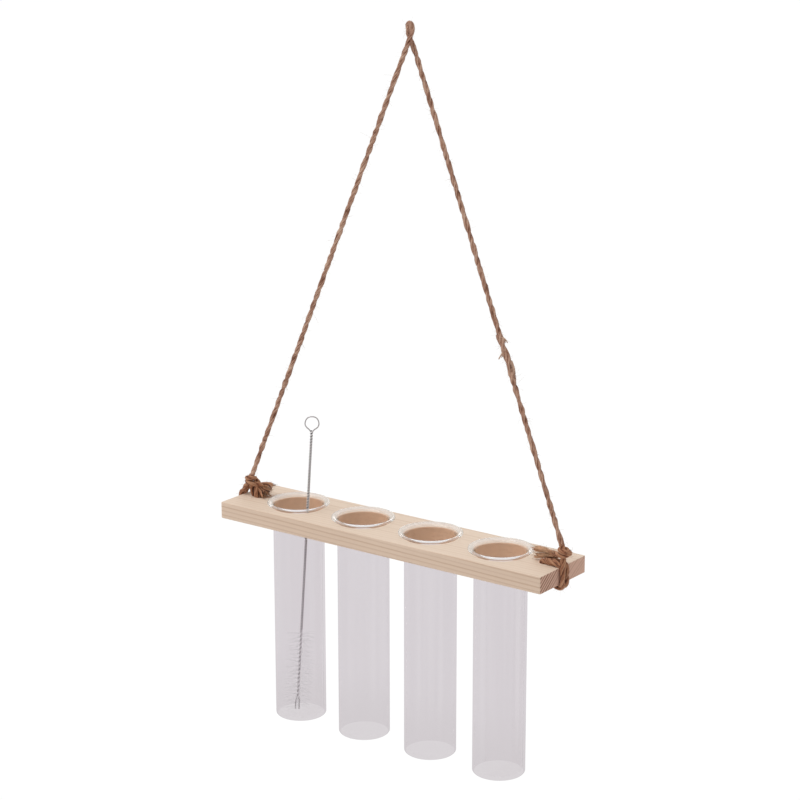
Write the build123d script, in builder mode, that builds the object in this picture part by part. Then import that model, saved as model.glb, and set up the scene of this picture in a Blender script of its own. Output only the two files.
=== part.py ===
"""Hanging test tube vase: a pine rack with four flared glass tubes, jute twine and a cleaning brush."""
import os
from math import asin, cos, pi, radians, sin, sqrt, tan

from build123d import *

os.makedirs("parts", exist_ok=True)

# All sizes are in millimetres. The origin is the top of the nail that the twine hangs on.

# Where the rack hangs under the nail
hang_height = 281.0
hang_setback = 13.0
board_origin = Vector(0, -hang_setback, -hang_height)

# Pine board
board_length = 224.0
board_width = 45.0
board_thickness = 9.8
board_edge_ease = 0.4
tube_hole_radius = 15.6
hole_edge_ease = 0.4
twine_hole_radius = 3.8
twine_hole_inset = 12.0

# Glass tubes
tube_count = 4
tube_pitch = 47.6
tube_radius = 15.0
tube_wall = 1.5
tube_reach = 130.0
foot_radius = 3.0
foot_inner_radius = 2.0
rim_radius = 18.35
lip_thickness = 1.3
lip_underside = 1.2

# Jute twine
twine_radius = 1.5
strand_sides = 8
twine_rest_gap = 0.2
twine_lane = 1.85
nail_radius = 1.0
eye_drop = 8.5
crossing_lane = 2.3
route_arc_share = 0.45
full_arc_share = 0.97

# Lashings and knots at the two ends of the board
knot_insets = {"left": 5.5, "right": 0.8}
tail_reaches = {"left": 18.0, "right": 19.5}
hinge_height = 14.0
hinge_gap = 0.7
strand_bend_height = 4.4
edge_bend_height = 1.0
edge_bend_radius = 1.9
soft_bend_radius = 3.0
lane_change_inset = 2.5
strand_end_height = 6.5
strand_rise_height = 4.4
collar_radius = 3.2
collar_top = 11.6
collar_pitch = 3.7
collar_quarters = 5
collar_exit_heading = 138.0
tail_run = 6.5
tail_bend_height = 3.6
tail_bend_inset = 13.5
tail_lane = 6.6
tail_end_lane = 6.0

# Cleaning brush, leaning in the first tube
brush_tip = board_origin + Vector(-73.5, -1.4, -128.2)
ring_centre = board_origin + Vector(-55.0, -7.0, 54.1)
ring_facing = 36.6
ring_radius = 3.9
ring_neck = 5.1
ring_corners = 4
wire_radius = 0.45
stem_pitch = 3.5
stem_width = 1.75
stem_depth = 0.95
stem_steps = 4
head_length = 51.0
head_start = 0.4
strand_margin = 1.4
strand_length = 8.8
strand_size = 0.2
strands_per_turn = 16
strand_turns = 21


def on_board(x, y, z):
    """A point given from the middle of the board's top face."""
    return board_origin + Vector(x, y, z)


def loop_corners(radius, half_angle, count):
    """Corners, in a loop's own plane, of the runs that fold round a circle and cross below it."""
    step = (pi + 2 * half_angle) / count
    reach = radius / cos(step / 2)
    angles = [(i + 0.5) * step - half_angle for i in range(count)]
    return [(reach * cos(angle), reach * sin(angle)) for angle in angles]


def widest_radius(before, corner, after):
    """The largest arc that two runs of a slack or straight stretch leave room for."""
    turn = radians((corner - before).get_angle(after - corner))
    shorter = min((corner - before).length, (after - corner).length)
    return route_arc_share * shorter / tan(turn / 2)


def lay_tube(name, points, radii, radius):
    """Sweeps one unbroken tube along straight runs and tangent arcs, and prints its measures."""
    with BuildLine():
        path = FilletPolyline(*points, radius=radii)
    with BuildSketch(Plane(origin=path @ 0, z_dir=path % 0)) as section:
        RegularPolygon(radius, strand_sides)
    tube = sweep(sections=section.sketch, path=path)
    section_area = section.sketch.area
    rounded = [round(value, 1) for value in radii]
    print(f"{name}: length {path.length:.1f}, arc radii {rounded}")
    print(f"{name}: volume {tube.volume:.1f}, section times length {section_area * path.length:.1f}")
    return path


def print_least_gap(name, path, radius):
    """Measures on points how near a tube comes to a far stretch of itself."""
    step = radius / 2
    count = int(path.length / step)
    points = [path @ (i / count) for i in range(count + 1)]
    apart = int(6 * radius / step)
    pairs = ((a, b) for i, a in enumerate(points) for b in points[i + apart:])
    least = min((a - b).length for a, b in pairs)
    print(f"{name}: least gap to itself {least - 2 * radius:.2f}")


def keep(part, name):
    """Labels a finished piece and writes it."""
    part.label = name
    export_step(part, f"parts/{name}.step")


# The board: four tube holes in a row, and a twine hole near each end
with BuildPart() as rack_board:
    with BuildSketch(Plane(board_origin)):
        Rectangle(board_length, board_width)
        with GridLocations(tube_pitch, 0, tube_count, 1):
            Circle(tube_hole_radius, mode=Mode.SUBTRACT)
        with GridLocations(board_length - 2 * twine_hole_inset, 0, 2, 1):
            Circle(twine_hole_radius, mode=Mode.SUBTRACT)
    extrude(amount=-board_thickness)
    chamfer(rack_board.edges().filter_by(GeomType.LINE), board_edge_ease)
    chamfer(rack_board.edges().filter_by(GeomType.CIRCLE), hole_edge_ease)
keep(rack_board.part, "rack_board")

# The glass tubes: flat foot, thin straight wall, and a trumpet rim that rests on the board
tube_inner_radius = tube_radius - tube_wall
floor_outside = -tube_reach
floor_inside = floor_outside + tube_wall
lip_radius = lip_thickness / 2
lip_centre = rim_radius - lip_radius
lip_top = lip_underside + lip_thickness
flare_start = lip_underside - (lip_centre - tube_radius)
flare_inner_start = lip_top - (lip_centre - tube_inner_radius)
tube_centres = [tube_pitch * (i - (tube_count - 1) / 2) for i in range(tube_count)]
for number, centre in enumerate(tube_centres, start=1):
    tube_axis = Axis(on_board(centre, 0, 0), (0, 0, 1))
    with BuildPart() as tube:
        with BuildSketch(Plane(tube_axis.position, x_dir=(1, 0, 0), z_dir=(0, -1, 0))):
            with BuildLine():
                Line((0, floor_outside), (tube_radius - foot_radius, floor_outside))
                TangentArc(
                    (tube_radius - foot_radius, floor_outside),
                    (tube_radius, floor_outside + foot_radius),
                    tangent=(1, 0),
                )
                Line((tube_radius, floor_outside + foot_radius), (tube_radius, flare_start))
                TangentArc((tube_radius, flare_start), (lip_centre, lip_underside), tangent=(0, 1))
                TangentArc((lip_centre, lip_underside), (lip_centre, lip_top), tangent=(1, 0))
                TangentArc((lip_centre, lip_top), (tube_inner_radius, flare_inner_start), tangent=(-1, 0))
                Line(
                    (tube_inner_radius, flare_inner_start),
                    (tube_inner_radius, floor_inside + foot_inner_radius),
                )
                TangentArc(
                    (tube_inner_radius, floor_inside + foot_inner_radius),
                    (tube_inner_radius - foot_inner_radius, floor_inside),
                    tangent=(0, -1),
                )
                Line((tube_inner_radius - foot_inner_radius, floor_inside), (0, floor_inside))
                Line((0, floor_inside), (0, floor_outside))
            make_face()
        revolve(axis=tube_axis)
    keep(tube.part, f"tube_{number}")

# The brush's wire: a ring handle over a stem of two wires twisted together
brush_axis = (ring_centre - brush_tip).normalized()
brush_length = (ring_centre - brush_tip).length
ring_side = Vector(cos(radians(ring_facing)), sin(radians(ring_facing)), 0)
brush_plane = Plane(origin=brush_tip, x_dir=ring_side, z_dir=brush_axis)
neck_height = brush_length - ring_neck
stem_top = neck_height - stem_depth
ring_points = [(wire_radius, stem_top), (wire_radius, neck_height)]
ring_loop = loop_corners(ring_radius, asin(ring_radius / ring_neck), ring_corners)
ring_points += [(x, brush_length + height) for x, height in ring_loop]
ring_points += [(-wire_radius, neck_height), (-wire_radius, stem_top)]
ring_route = [brush_plane.from_local_coords(Vector(x, 0, height)) for x, height in ring_points]
ring_arcs = [wire_radius * 2] + [ring_radius * full_arc_share] * ring_corners + [wire_radius * 2]
stem_start = head_start + head_length
stem_sections = round((stem_top + wire_radius - stem_start) / stem_pitch * stem_steps)
with BuildPart() as brush_wire:
    for i in range(stem_sections + 1):
        height = stem_start + i * (stem_top + wire_radius - stem_start) / stem_sections
        with BuildSketch(brush_plane.offset(height).rotated((0, 0, i * 360 / stem_steps))):
            Rectangle(stem_width, stem_depth)
    loft(ruled=True)
    lay_tube("brush_wire ring", ring_route, ring_arcs, wire_radius)
keep(brush_wire.part, "brush_wire")

# The brush's head: nylon strands set in a spiral round the last of the stem
strand_count = strands_per_turn * strand_turns
strand_pitch = (head_length - 2 * strand_margin) / (strand_count - 1)
strand_places = []
for i in range(strand_count):
    height = head_start + strand_margin + i * strand_pitch
    strand_places.append(Location((0, 0, height), (0, 0, i * 360 / strands_per_turn)))
with BuildPart(brush_plane) as brush_bristles:
    with BuildSketch(brush_plane.offset(head_start)):
        RegularPolygon(stem_width / 2, 6)
    extrude(amount=head_length)
    with Locations(*strand_places):
        Box(strand_length, strand_size, strand_size, align=(Align.MIN, Align.CENTER, Align.CENTER))
keep(brush_bristles.part, "brush_bristles")

# The twine's free stretch: up from the left knot, once round the nail, and down to the right knot
hinge_points = {}
for side, direction in (("left", -1), ("right", 1)):
    x = direction * (board_length / 2 - knot_insets[side])
    hinge_points[side] = on_board(x, -twine_lane, hinge_height)
eye_radius = nail_radius + twine_radius
eye_half_angle = asin(eye_radius / (eye_drop - nail_radius))
eye_corners = loop_corners(eye_radius, eye_half_angle, 3)
crossing_front = Vector(0, -crossing_lane, -eye_drop)
crossing_back = Vector(0, crossing_lane, -eye_drop)
left_rise = (crossing_front - hinge_points["left"]).normalized()
right_rise = (crossing_back - hinge_points["right"]).normalized()
eye_route = [Vector(x, 0, height - nail_radius) for x, height in eye_corners]
hanger_route = [hinge_points["left"] + left_rise * hinge_gap, crossing_front]
hanger_route += eye_route
hanger_route += [crossing_back, hinge_points["right"] + right_rise * hinge_gap]
hanger_arcs = [widest_radius(*hanger_route[0:3])]
hanger_arcs += [eye_radius * full_arc_share] * len(eye_route)
hanger_arcs += [widest_radius(*hanger_route[-3:])]
with BuildPart() as twine_hanger:
    hanger_path = lay_tube("twine_hanger", hanger_route, hanger_arcs, twine_radius)
print_least_gap("twine_hanger", hanger_path, twine_radius)
keep(twine_hanger.part, "twine_hanger")

# The two lashings: two turns through the twine hole and round the board's end, and a collar knot with its tail
outside = twine_radius + twine_rest_gap
under = -board_thickness - outside
front = -twine_lane
back = twine_lane
hole = -twine_hole_inset
for side, direction in (("left", -1), ("right", 1)):

    def on_end(point):
        """A point given outward from the board's end, across its width and up from its top."""
        out, across, up = point
        return on_board(direction * (board_length / 2 + out), across, up)

    knot = -knot_insets[side]
    knot_spot = Vector(knot, front)
    to_hole = (Vector(hole, back) - knot_spot).normalized()
    strand_end = knot_spot + to_hole * (collar_radius + 2 * twine_radius + twine_rest_gap)
    lashing_points = [
        (knot, front, hinge_height - hinge_gap),
        (knot, front, strand_bend_height),
        (outside, front, edge_bend_height),
        (outside, front, under),
        (hole, front, under),
        (hole, front, outside),
        (-lane_change_inset, back, outside),
        (outside, back, outside),
        (outside, back, under),
        (hole, back, under),
        (hole, back, strand_rise_height),
        (strand_end.X, strand_end.Y, strand_end_height),
    ]
    lashing_arcs = [edge_bend_radius] * (len(lashing_points) - 2)
    lashing_arcs[0] = soft_bend_radius
    with BuildPart() as lashing:
        route = [on_end(point) for point in lashing_points]
        lashing_path = lay_tube(f"lashing_{side}", route, lashing_arcs, twine_radius)
    print_least_gap(f"lashing_{side}", lashing_path, twine_radius)
    keep(lashing.part, f"lashing_{side}")

    heading = radians(collar_exit_heading)
    collar_drop = collar_pitch / 4
    first_corner = heading - radians(135 + 90 * (collar_quarters - 1))
    start_angle = first_corner - pi / 4
    knot_points = [
        (knot + collar_radius * cos(start_angle), front + collar_radius * sin(start_angle), collar_top)
    ]
    for i in range(collar_quarters):
        angle = first_corner + i * pi / 2
        reach = collar_radius * sqrt(2)
        height = collar_top - (i + 0.5) * collar_drop
        knot_points.append((knot + reach * cos(angle), front + reach * sin(angle), height))
    corner_x, corner_y, _ = knot_points[-1]
    knot_points += [
        (
            corner_x + (collar_radius + tail_run) * cos(heading),
            corner_y + (collar_radius + tail_run) * sin(heading),
            tail_bend_height,
        ),
        (-tail_bend_inset, tail_lane, outside),
        (-tail_reaches[side], tail_end_lane, outside),
    ]
    knot_arcs = [collar_radius * full_arc_share] * collar_quarters + [soft_bend_radius] * 2
    with BuildPart() as knot_coil:
        route = [on_end(point) for point in knot_points]
        knot_path = lay_tube(f"knot_{side}", route, knot_arcs, twine_radius)
    print_least_gap(f"knot_{side}", knot_path, twine_radius)
    keep(knot_coil.part, f"knot_{side}")
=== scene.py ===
"""Looks of a hanging test tube vase: a pine rack, four flared glass tubes, jute twine and a bottle brush."""
import logging
import math
from dataclasses import dataclass
from enum import Enum
from typing import Any, Mapping, Optional, Sequence, Union

import bmesh
import bpy
from mathutils import Matrix, Vector


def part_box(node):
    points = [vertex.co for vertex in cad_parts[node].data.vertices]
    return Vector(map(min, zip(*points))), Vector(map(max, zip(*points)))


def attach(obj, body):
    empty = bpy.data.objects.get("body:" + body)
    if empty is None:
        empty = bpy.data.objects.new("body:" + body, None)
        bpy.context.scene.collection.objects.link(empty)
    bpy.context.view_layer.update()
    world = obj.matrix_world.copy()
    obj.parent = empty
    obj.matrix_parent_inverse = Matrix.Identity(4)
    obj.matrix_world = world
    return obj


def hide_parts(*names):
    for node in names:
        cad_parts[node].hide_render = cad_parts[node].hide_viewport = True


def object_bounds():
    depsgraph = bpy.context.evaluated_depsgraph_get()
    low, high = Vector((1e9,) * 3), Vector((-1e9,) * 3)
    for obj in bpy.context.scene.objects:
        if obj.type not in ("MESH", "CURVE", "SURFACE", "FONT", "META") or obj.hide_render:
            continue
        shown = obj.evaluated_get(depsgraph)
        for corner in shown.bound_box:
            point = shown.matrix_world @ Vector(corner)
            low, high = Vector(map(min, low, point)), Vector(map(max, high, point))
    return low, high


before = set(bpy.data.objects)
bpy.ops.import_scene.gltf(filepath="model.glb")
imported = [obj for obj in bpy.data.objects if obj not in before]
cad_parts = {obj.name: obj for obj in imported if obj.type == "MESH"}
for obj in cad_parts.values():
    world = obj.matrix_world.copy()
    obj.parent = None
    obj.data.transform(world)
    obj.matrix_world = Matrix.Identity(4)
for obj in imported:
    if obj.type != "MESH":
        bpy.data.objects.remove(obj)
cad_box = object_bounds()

LOG = logging.getLogger("test_tube_vase")
MM = 0.001
TAU = 2 * math.pi
QUARTER = math.pi / 2
RACK_NODE = "rack_board"
TUBE_NODES = ("tube_1", "tube_2", "tube_3", "tube_4")
# Millimetres from the board's end to the middle of the twine hole
TWINE_HOLE_INSET = 11.2

Colour = tuple[float, float, float]
Point = tuple[float, float, float]


class Slot(Enum):
    """The record's material slots."""

    PINE = "pine"
    GLASS = "glass"
    JUTE = "jute"
    WIRE = "wire"
    NYLON = "nylon"


class Side(Enum):
    """An end of the board, by its direction along X."""

    LEFT = -1
    RIGHT = 1

    @property
    def word(self) -> str:
        """The side's name in piece names."""
        return self.name.lower()


class Field:
    """A node's socket, whose operators add Math nodes to the same tree."""

    def __init__(self, bench: "NodeBench", socket: bpy.types.NodeSocket) -> None:
        """Keeps the socket and the bench that it is on."""
        self.bench = bench
        self.socket = socket

    def sibling(self, output: str) -> "Field":
        """Another output of the same node."""
        return Field(self.bench, find_socket(self.socket.node.outputs, output))

    def __add__(self, other: "Number") -> "Field":
        """self + other."""
        return self.bench.math("ADD", self, other)

    def __radd__(self, other: "Number") -> "Field":
        """other + self."""
        return self.bench.math("ADD", other, self)

    def __sub__(self, other: "Number") -> "Field":
        """self - other."""
        return self.bench.math("SUBTRACT", self, other)

    def __rsub__(self, other: "Number") -> "Field":
        """other - self."""
        return self.bench.math("SUBTRACT", other, self)

    def __mul__(self, other: "Number") -> "Field":
        """self * other."""
        return self.bench.math("MULTIPLY", self, other)

    def __rmul__(self, other: "Number") -> "Field":
        """other * self."""
        return self.bench.math("MULTIPLY", other, self)

    def __truediv__(self, other: "Number") -> "Field":
        """self / other."""
        return self.bench.math("DIVIDE", self, other)

    def __pow__(self, other: "Number") -> "Field":
        """self ** other."""
        return self.bench.math("POWER", self, other)


Number = Union[Field, float]


def find_socket(sockets: Any, label: str) -> bpy.types.NodeSocket:
    """Finds a socket by its identifier, or else by its name.

    Args:
        sockets: A node's inputs or outputs.
        label: The identifier or the name.

    Returns:
        The first socket that fits.
    """
    for socket in sockets:
        if socket.identifier == label:
            return socket
    return sockets[label]


class NodeBench:
    """A node tree under construction, for a finish, the world or a geometry recipe."""

    def __init__(self, tree: bpy.types.NodeTree) -> None:
        """Keeps the tree."""
        self.tree = tree

    def add(
        self,
        kind: str,
        settings: Optional[Mapping[str, Any]] = None,
        inputs: Optional[Mapping[str, Any]] = None,
        output: Optional[str] = None,
    ) -> Field:
        """Adds one node.

        Args:
            kind: The node's type.
            settings: Its properties, and "stops" for a colour ramp. They are set first.
            inputs: A value or a Field for each socket, by identifier or name.
            output: The output wanted, or None for the first.

        Returns:
            The output as a Field.
        """
        node = self.tree.nodes.new(kind)
        for label, value in (settings or {}).items():
            if label == "stops":
                self.set_stops(node.color_ramp, value)
            else:
                setattr(node, label, value)
        for label, value in (inputs or {}).items():
            socket = find_socket(node.inputs, label)
            if isinstance(value, Field):
                self.tree.links.new(value.socket, socket)
            else:
                socket.default_value = value
        return Field(self, find_socket(node.outputs, output) if output else node.outputs[0])

    @staticmethod
    def set_stops(ramp: bpy.types.ColorRamp, stops: Sequence[tuple[float, Colour]]) -> None:
        """Sets a ramp's stops.

        Args:
            ramp: The ramp, which starts with two stops.
            stops: Places from 0 to 1 with their colours.
        """
        while len(ramp.elements) < len(stops):
            ramp.elements.new(1.0)
        for element, (place, colour) in zip(ramp.elements, stops):
            element.position = place
            element.color = (*colour, 1.0)

    def math(self, operation: str, *values: Number) -> Field:
        """A Math node on one, two or three numbers."""
        labels = ("Value", "Value_001", "Value_002")
        return self.add("ShaderNodeMath", {"operation": operation}, dict(zip(labels, values)))

    def vector(self, operation: str, *values: Any, scale: Optional[Number] = None) -> Field:
        """A Vector Math node.

        Args:
            operation: The operation's name.
            values: Up to three vectors.
            scale: The number for SCALE.

        Returns:
            The vector that comes out.
        """
        inputs = dict(zip(("Vector", "Vector_001", "Vector_002"), values))
        if scale is not None:
            inputs["Scale"] = scale
        return self.add("ShaderNodeVectorMath", {"operation": operation}, inputs, "Vector")

    def combine(self, x: Number, y: Number, z: Number) -> Field:
        """A vector from three numbers."""
        return self.add("ShaderNodeCombineXYZ", None, {"X": x, "Y": y, "Z": z})

    def separate(self, vector: Field) -> tuple[Field, Field, Field]:
        """A vector's three numbers."""
        x = self.add("ShaderNodeSeparateXYZ", None, {"Vector": vector}, "X")
        return x, x.sibling("Y"), x.sibling("Z")

    def noise(self, vector: Field, scale: float, detail: float = 2.0, roughness: float = 0.5) -> Field:
        """Noise from 0 to 1 in three dimensions.

        Args:
            vector: Where it is read.
            scale: Features per unit of length.
            detail: Octaves.
            roughness: How strong the finer octaves are.

        Returns:
            The noise, about 0.5 on average.
        """
        inputs = {"Vector": vector, "Scale": scale, "Detail": detail, "Roughness": roughness}
        return self.add("ShaderNodeTexNoise", None, inputs, "Fac")

    def noise_along(self, place: Number, scale: float, detail: float = 1.0) -> Field:
        """Noise from 0 to 1 on one number."""
        inputs = {"W": place, "Scale": scale, "Detail": detail}
        return self.add("ShaderNodeTexNoise", {"noise_dimensions": "1D"}, inputs, "Fac")

    def mix(self, factor: Number, first: Any, second: Any, blend: str = "MIX") -> Field:
        """Mixes two colours.

        Args:
            factor: 0 for the first, 1 for the second.
            first: A Field or a colour.
            second: A Field or a colour.
            blend: The blend type.

        Returns:
            The mixed colour.
        """
        inputs = {"Factor_Float": factor}
        for label, colour in (("A_Color", first), ("B_Color", second)):
            inputs[label] = colour if isinstance(colour, Field) else (*colour, 1.0)
        settings = {"data_type": "RGBA", "blend_type": blend}
        return self.add("ShaderNodeMix", settings, inputs, "Result_Color")

    def distance(self, first: Any, second: Any) -> Field:
        """How far apart two places are."""
        inputs = {"Vector": first, "Vector_001": second}
        return self.add("ShaderNodeVectorMath", {"operation": "DISTANCE"}, inputs, "Value")

    def step(self, value: Number, low: float, high: float) -> Field:
        """A smooth step from 0 at low to 1 at high."""
        settings = {"interpolation_type": "SMOOTHSTEP"}
        return self.add("ShaderNodeMapRange", settings, {"Value": value, "From Min": low, "From Max": high})


class Skin(NodeBench):
    """A material with one Principled shader."""

    def __init__(self, name: str, constants: Mapping[str, Any]) -> None:
        """Makes the material.

        Args:
            name: The finish's name.
            constants: Values that are the same all over, set on the shader's own sockets.
        """
        self.material = bpy.data.materials.new(name)
        self.material.use_nodes = True
        super().__init__(self.material.node_tree)
        self.shader = self.tree.nodes["Principled BSDF"]
        for label, value in constants.items():
            self.shader.inputs[label].default_value = value

    def object_place(self) -> Field:
        """The Object coordinates, in metres."""
        return self.add("ShaderNodeTexCoord", None, None, "Object")

    def attribute(self, name: str, output: str = "Fac") -> Field:
        """A named attribute of the mesh."""
        return self.add("ShaderNodeAttribute", {"attribute_name": name}, None, output)

    def feed(self, label: str, source: Field) -> None:
        """Links a Field to one of the shader's sockets."""
        self.tree.links.new(source.socket, self.shader.inputs[label])

    def bump(self, height: Field, distance: float, strength: float = 1.0) -> None:
        """Feeds Normal with a bump of that height in metres."""
        inputs = {"Height": height, "Distance": distance, "Strength": strength}
        self.feed("Normal", self.add("ShaderNodeBump", None, inputs))

    def let_lamps_through(self, tint: Colour) -> None:
        """Lets the rays that gather light go straight through the surface.

        Args:
            tint: What is left of the light.
        """
        path = self.add("ShaderNodeLightPath", None, None, "Is Shadow Ray")
        light_ray = self.math("MAXIMUM", path, path.sibling("Is Diffuse Ray"))
        clear = self.add("ShaderNodeBsdfTransparent", None, {"Color": (*tint, 1.0)})
        shaders = {"Fac": light_ray, "Shader": Field(self, self.shader.outputs[0]), "Shader_001": clear}
        mixed = self.add("ShaderNodeMixShader", None, shaders)
        self.tree.links.new(mixed.socket, self.tree.nodes["Material Output"].inputs["Surface"])


@dataclass(frozen=True)
class PineFinish:
    """Planed pale pine with growth rings round a far pith, seen as end grain on the board's ends."""

    name: str = "planed_pine"
    early_wood: Colour = (0.755, 0.605, 0.480)
    late_wood: Colour = (0.47, 0.30, 0.185)
    end_early: Colour = (0.655, 0.415, 0.315)
    end_late: Colour = (0.24, 0.115, 0.070)
    # Hole walls: raw drilled wood, warmer than the planed faces, and also painted lighter to stand in for
    # light that the hole's shade keeps out.
    bored: Colour = (0.87, 0.56, 0.365)
    front_tint: Colour = (0.98, 0.94, 0.92)
    pith_across: float = 71 * MM
    pith_up: float = -406 * MM
    ring_pitch: float = 1.9 * MM
    ring_wander: float = 2.4 * MM
    ring_slope: float = 0.012
    face_band: tuple[float, float, float] = (0.5, 0.9, 0.93)
    end_band: tuple[float, float, float] = (0.3, 0.75, 0.9)
    late_contrast: float = 0.42
    top_fade: float = 0.22
    wander_rates: tuple[float, float] = (5.0, 22.0)
    patch_rates: tuple[float, float] = (9.0, 30.0)
    patch_contrast: float = 0.3
    fibre_rate: float = 2600.0
    fibre_stretch: float = 0.012
    fibre_contrast: float = 0.24
    pore_rate: float = 3200.0
    pore_contrast: float = 0.3
    relief: float = 0.12 * MM
    end_front: float = -30 * MM
    end_back: float = -13 * MM
    shine: float = 0.32
    roughness: float = 0.52

    @staticmethod
    def blotches(skin: Skin, rates: tuple[float, float]) -> Field:
        """Soft blotches that are drawn out along the grain.

        Args:
            skin: The material.
            rates: Features per metre along the grain and across it.

        Returns:
            Noise from 0 to 1.
        """
        lengthwise, crosswise = rates
        along, across, up = skin.separate(skin.object_place())
        return skin.noise(skin.combine(along * lengthwise, across * crosswise, up * crosswise), 1.0, 2.0)

    @staticmethod
    def late_band(skin: Skin, season: Field, band: tuple[float, float, float]) -> Field:
        """A year's late wood, which comes in slowly and ends with the year.

        Args:
            skin: The material.
            season: The part of the year, from 0 to 1.
            band: When it starts, when it is full and when it starts to end.

        Returns:
            How much late wood there is, from 0 to 1.
        """
        start, full, end = band
        return skin.step(season, start, full) * (1.0 - skin.step(season, end, 1.0))

    def make(self) -> bpy.types.Material:
        """Builds the material.

        Returns:
            The material.
        """
        skin = Skin(self.name, {"Specular IOR Level": self.shine})
        place = skin.object_place()
        along, across, up = skin.separate(place)
        broad = self.blotches(skin, self.wander_rates)
        away_across = across - self.pith_across
        away_up = up - self.pith_up
        from_pith = (away_across * away_across + away_up * away_up) ** 0.5
        rings = (from_pith + (broad - 0.5) * self.ring_wander + along * self.ring_slope) / self.ring_pitch
        year = skin.math("FLOOR", rings)
        season = skin.math("FRACT", rings)
        vigour = skin.step(skin.noise_along(year * 0.71, 1.0), 0.3, 0.7)
        late = self.late_band(skin, season, self.face_band) * vigour * 1.6
        streaks = skin.noise(skin.combine(along * self.fibre_stretch, across, up), self.fibre_rate, 3.0, 0.6)
        patches = self.blotches(skin, self.patch_rates)
        facing = skin.separate(skin.add("ShaderNodeTexCoord", None, None, "Normal"))
        endward, frontward, upward = (skin.math("ABSOLUTE", part) for part in facing)
        end_grain = skin.step(endward, 0.6, 0.9)
        front = skin.step(frontward, 0.6, 0.9)
        grain = late * (self.late_contrast - upward * self.top_fade) + (streaks - 0.5) * self.fibre_contrast
        grain = grain + (patches - 0.5) * self.patch_contrast
        face = skin.mix(skin.math("MAXIMUM", grain, 0.0), self.early_wood, self.late_wood)
        face = skin.mix(front, face, self.front_tint, "MULTIPLY")
        pores = skin.noise(place, self.pore_rate, 2.0)
        to_back = skin.step(across, self.end_front, self.end_back)
        broad_late = self.late_band(skin, season, self.end_band) * (0.3 + vigour * 0.9)
        end_lines = broad_late * (1.25 - to_back * 0.95) + (pores - 0.5) * self.pore_contrast
        end_lines = skin.math("MAXIMUM", skin.math("MINIMUM", end_lines, 1.0), 0.0)
        end = skin.mix(end_lines, self.end_early, self.end_late)
        planed = skin.mix(end_grain, face, end)
        # Painted light: the hole walls take a colour brighter than the wood's, so that they stay bright in
        # the hole's shade.
        bored = skin.mix(streaks * 0.3, self.bored, self.late_wood)
        skin.feed("Base Color", skin.mix(skin.attribute("bored"), planed, bored))
        skin.feed("Roughness", self.roughness + streaks * 0.2 + end_grain * 0.15)
        skin.bump(streaks * 0.5 - late * 0.5 + end_grain * pores, self.relief, 0.5)
        return skin.material


@dataclass(frozen=True)
class GlassFinish:
    """Thin glass with a faint smoky cast in its outer face, a paler neck and faint painted reflection
    streaks down it.
    """

    name: str = "tube_glass"
    clear: Colour = (0.985, 0.98, 0.98)
    cast: Colour = (0.655, 0.617, 0.645)
    streak_cast: Colour = (0.697, 0.662, 0.687)
    low_cast: Colour = (0.628, 0.592, 0.613)
    low_bottom: float = -408.0 * MM
    low_top: float = -368.0 * MM
    neck_cast: Colour = (0.83, 0.81, 0.825)
    neck_bottom: float = -290.8 * MM
    neck_top: float = -287.0 * MM
    lamp_tint: Colour = (0.97, 0.965, 0.97)
    index: float = 1.006
    streak_rate: float = 150.0
    streak_stretch: float = 0.015

    def make(self) -> bpy.types.Material:
        """Builds the material.

        Returns:
            The material.
        """
        skin = Skin(self.name, {"Transmission Weight": 1.0, "IOR": self.index, "Roughness": 0.0})
        along, across, up = skin.separate(skin.object_place())
        # Painted reflection: paler vertical streaks in the cast stand in for lamps reflected in the glass.
        reflection_streaks = skin.noise(skin.combine(along, across, up * self.streak_stretch), self.streak_rate, 2.0)
        body = skin.mix(skin.step(reflection_streaks, 0.45, 0.75), self.cast, self.streak_cast)
        body = skin.mix(skin.step(up, self.low_bottom, self.low_top), self.low_cast, body)
        body = skin.mix(skin.step(up, self.neck_bottom, self.neck_top), body, self.neck_cast)
        skin.feed("Base Color", skin.mix(skin.attribute("outside"), self.clear, body))
        skin.let_lamps_through(self.lamp_tint)
        return skin.material


@dataclass(frozen=True)
class FilmFinish:
    """The inner wall where it is left almost unseen, so that four tubes in a row can be looked through."""

    name: str = "inner_film"
    clear: Colour = (0.985, 0.98, 0.98)
    opacity: float = 0.02
    index: float = 1.006

    def make(self) -> bpy.types.Material:
        """Builds the material.

        Returns:
            The material.
        """
        constants = {
            "Base Color": (*self.clear, 1.0),
            "Transmission Weight": 1.0,
            "IOR": self.index,
            "Roughness": 0.0,
            "Alpha": self.opacity,
        }
        return Skin(self.name, constants).material


@dataclass(frozen=True)
class RimFinish:
    """The rim's thicker glass, which gathers white light and turns grey-green where it bends away."""

    name: str
    clearness: float
    pale: Colour = (0.95, 0.94, 0.94)
    edge: Colour = (0.40, 0.45, 0.42)
    edge_start: float = 0.52
    edge_end: float = 0.95
    lamp_tint: Colour = (0.99, 0.99, 0.99)
    index: float = 1.05
    roughness: float = 0.09
    coat: float = 0.4
    coat_roughness: float = 0.06

    def make(self) -> bpy.types.Material:
        """Builds the material.

        Returns:
            The material.
        """
        constants = {
            "Transmission Weight": self.clearness,
            "IOR": self.index,
            "Roughness": self.roughness,
            "Coat Weight": self.coat,
            "Coat Roughness": self.coat_roughness,
        }
        skin = Skin(self.name, constants)
        turned_away = skin.add("ShaderNodeLayerWeight", None, {"Blend": 0.5}, "Facing")
        edge = skin.step(turned_away, self.edge_start, self.edge_end)
        skin.feed("Base Color", skin.mix(edge, self.pale, self.edge))
        skin.let_lamps_through(self.lamp_tint)
        return skin.material


FLARE_GLASS = RimFinish("flare_glass", clearness=0.93)
LIP_GLASS = RimFinish("lip_glass", clearness=0.72, edge=(0.50, 0.55, 0.52))


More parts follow.
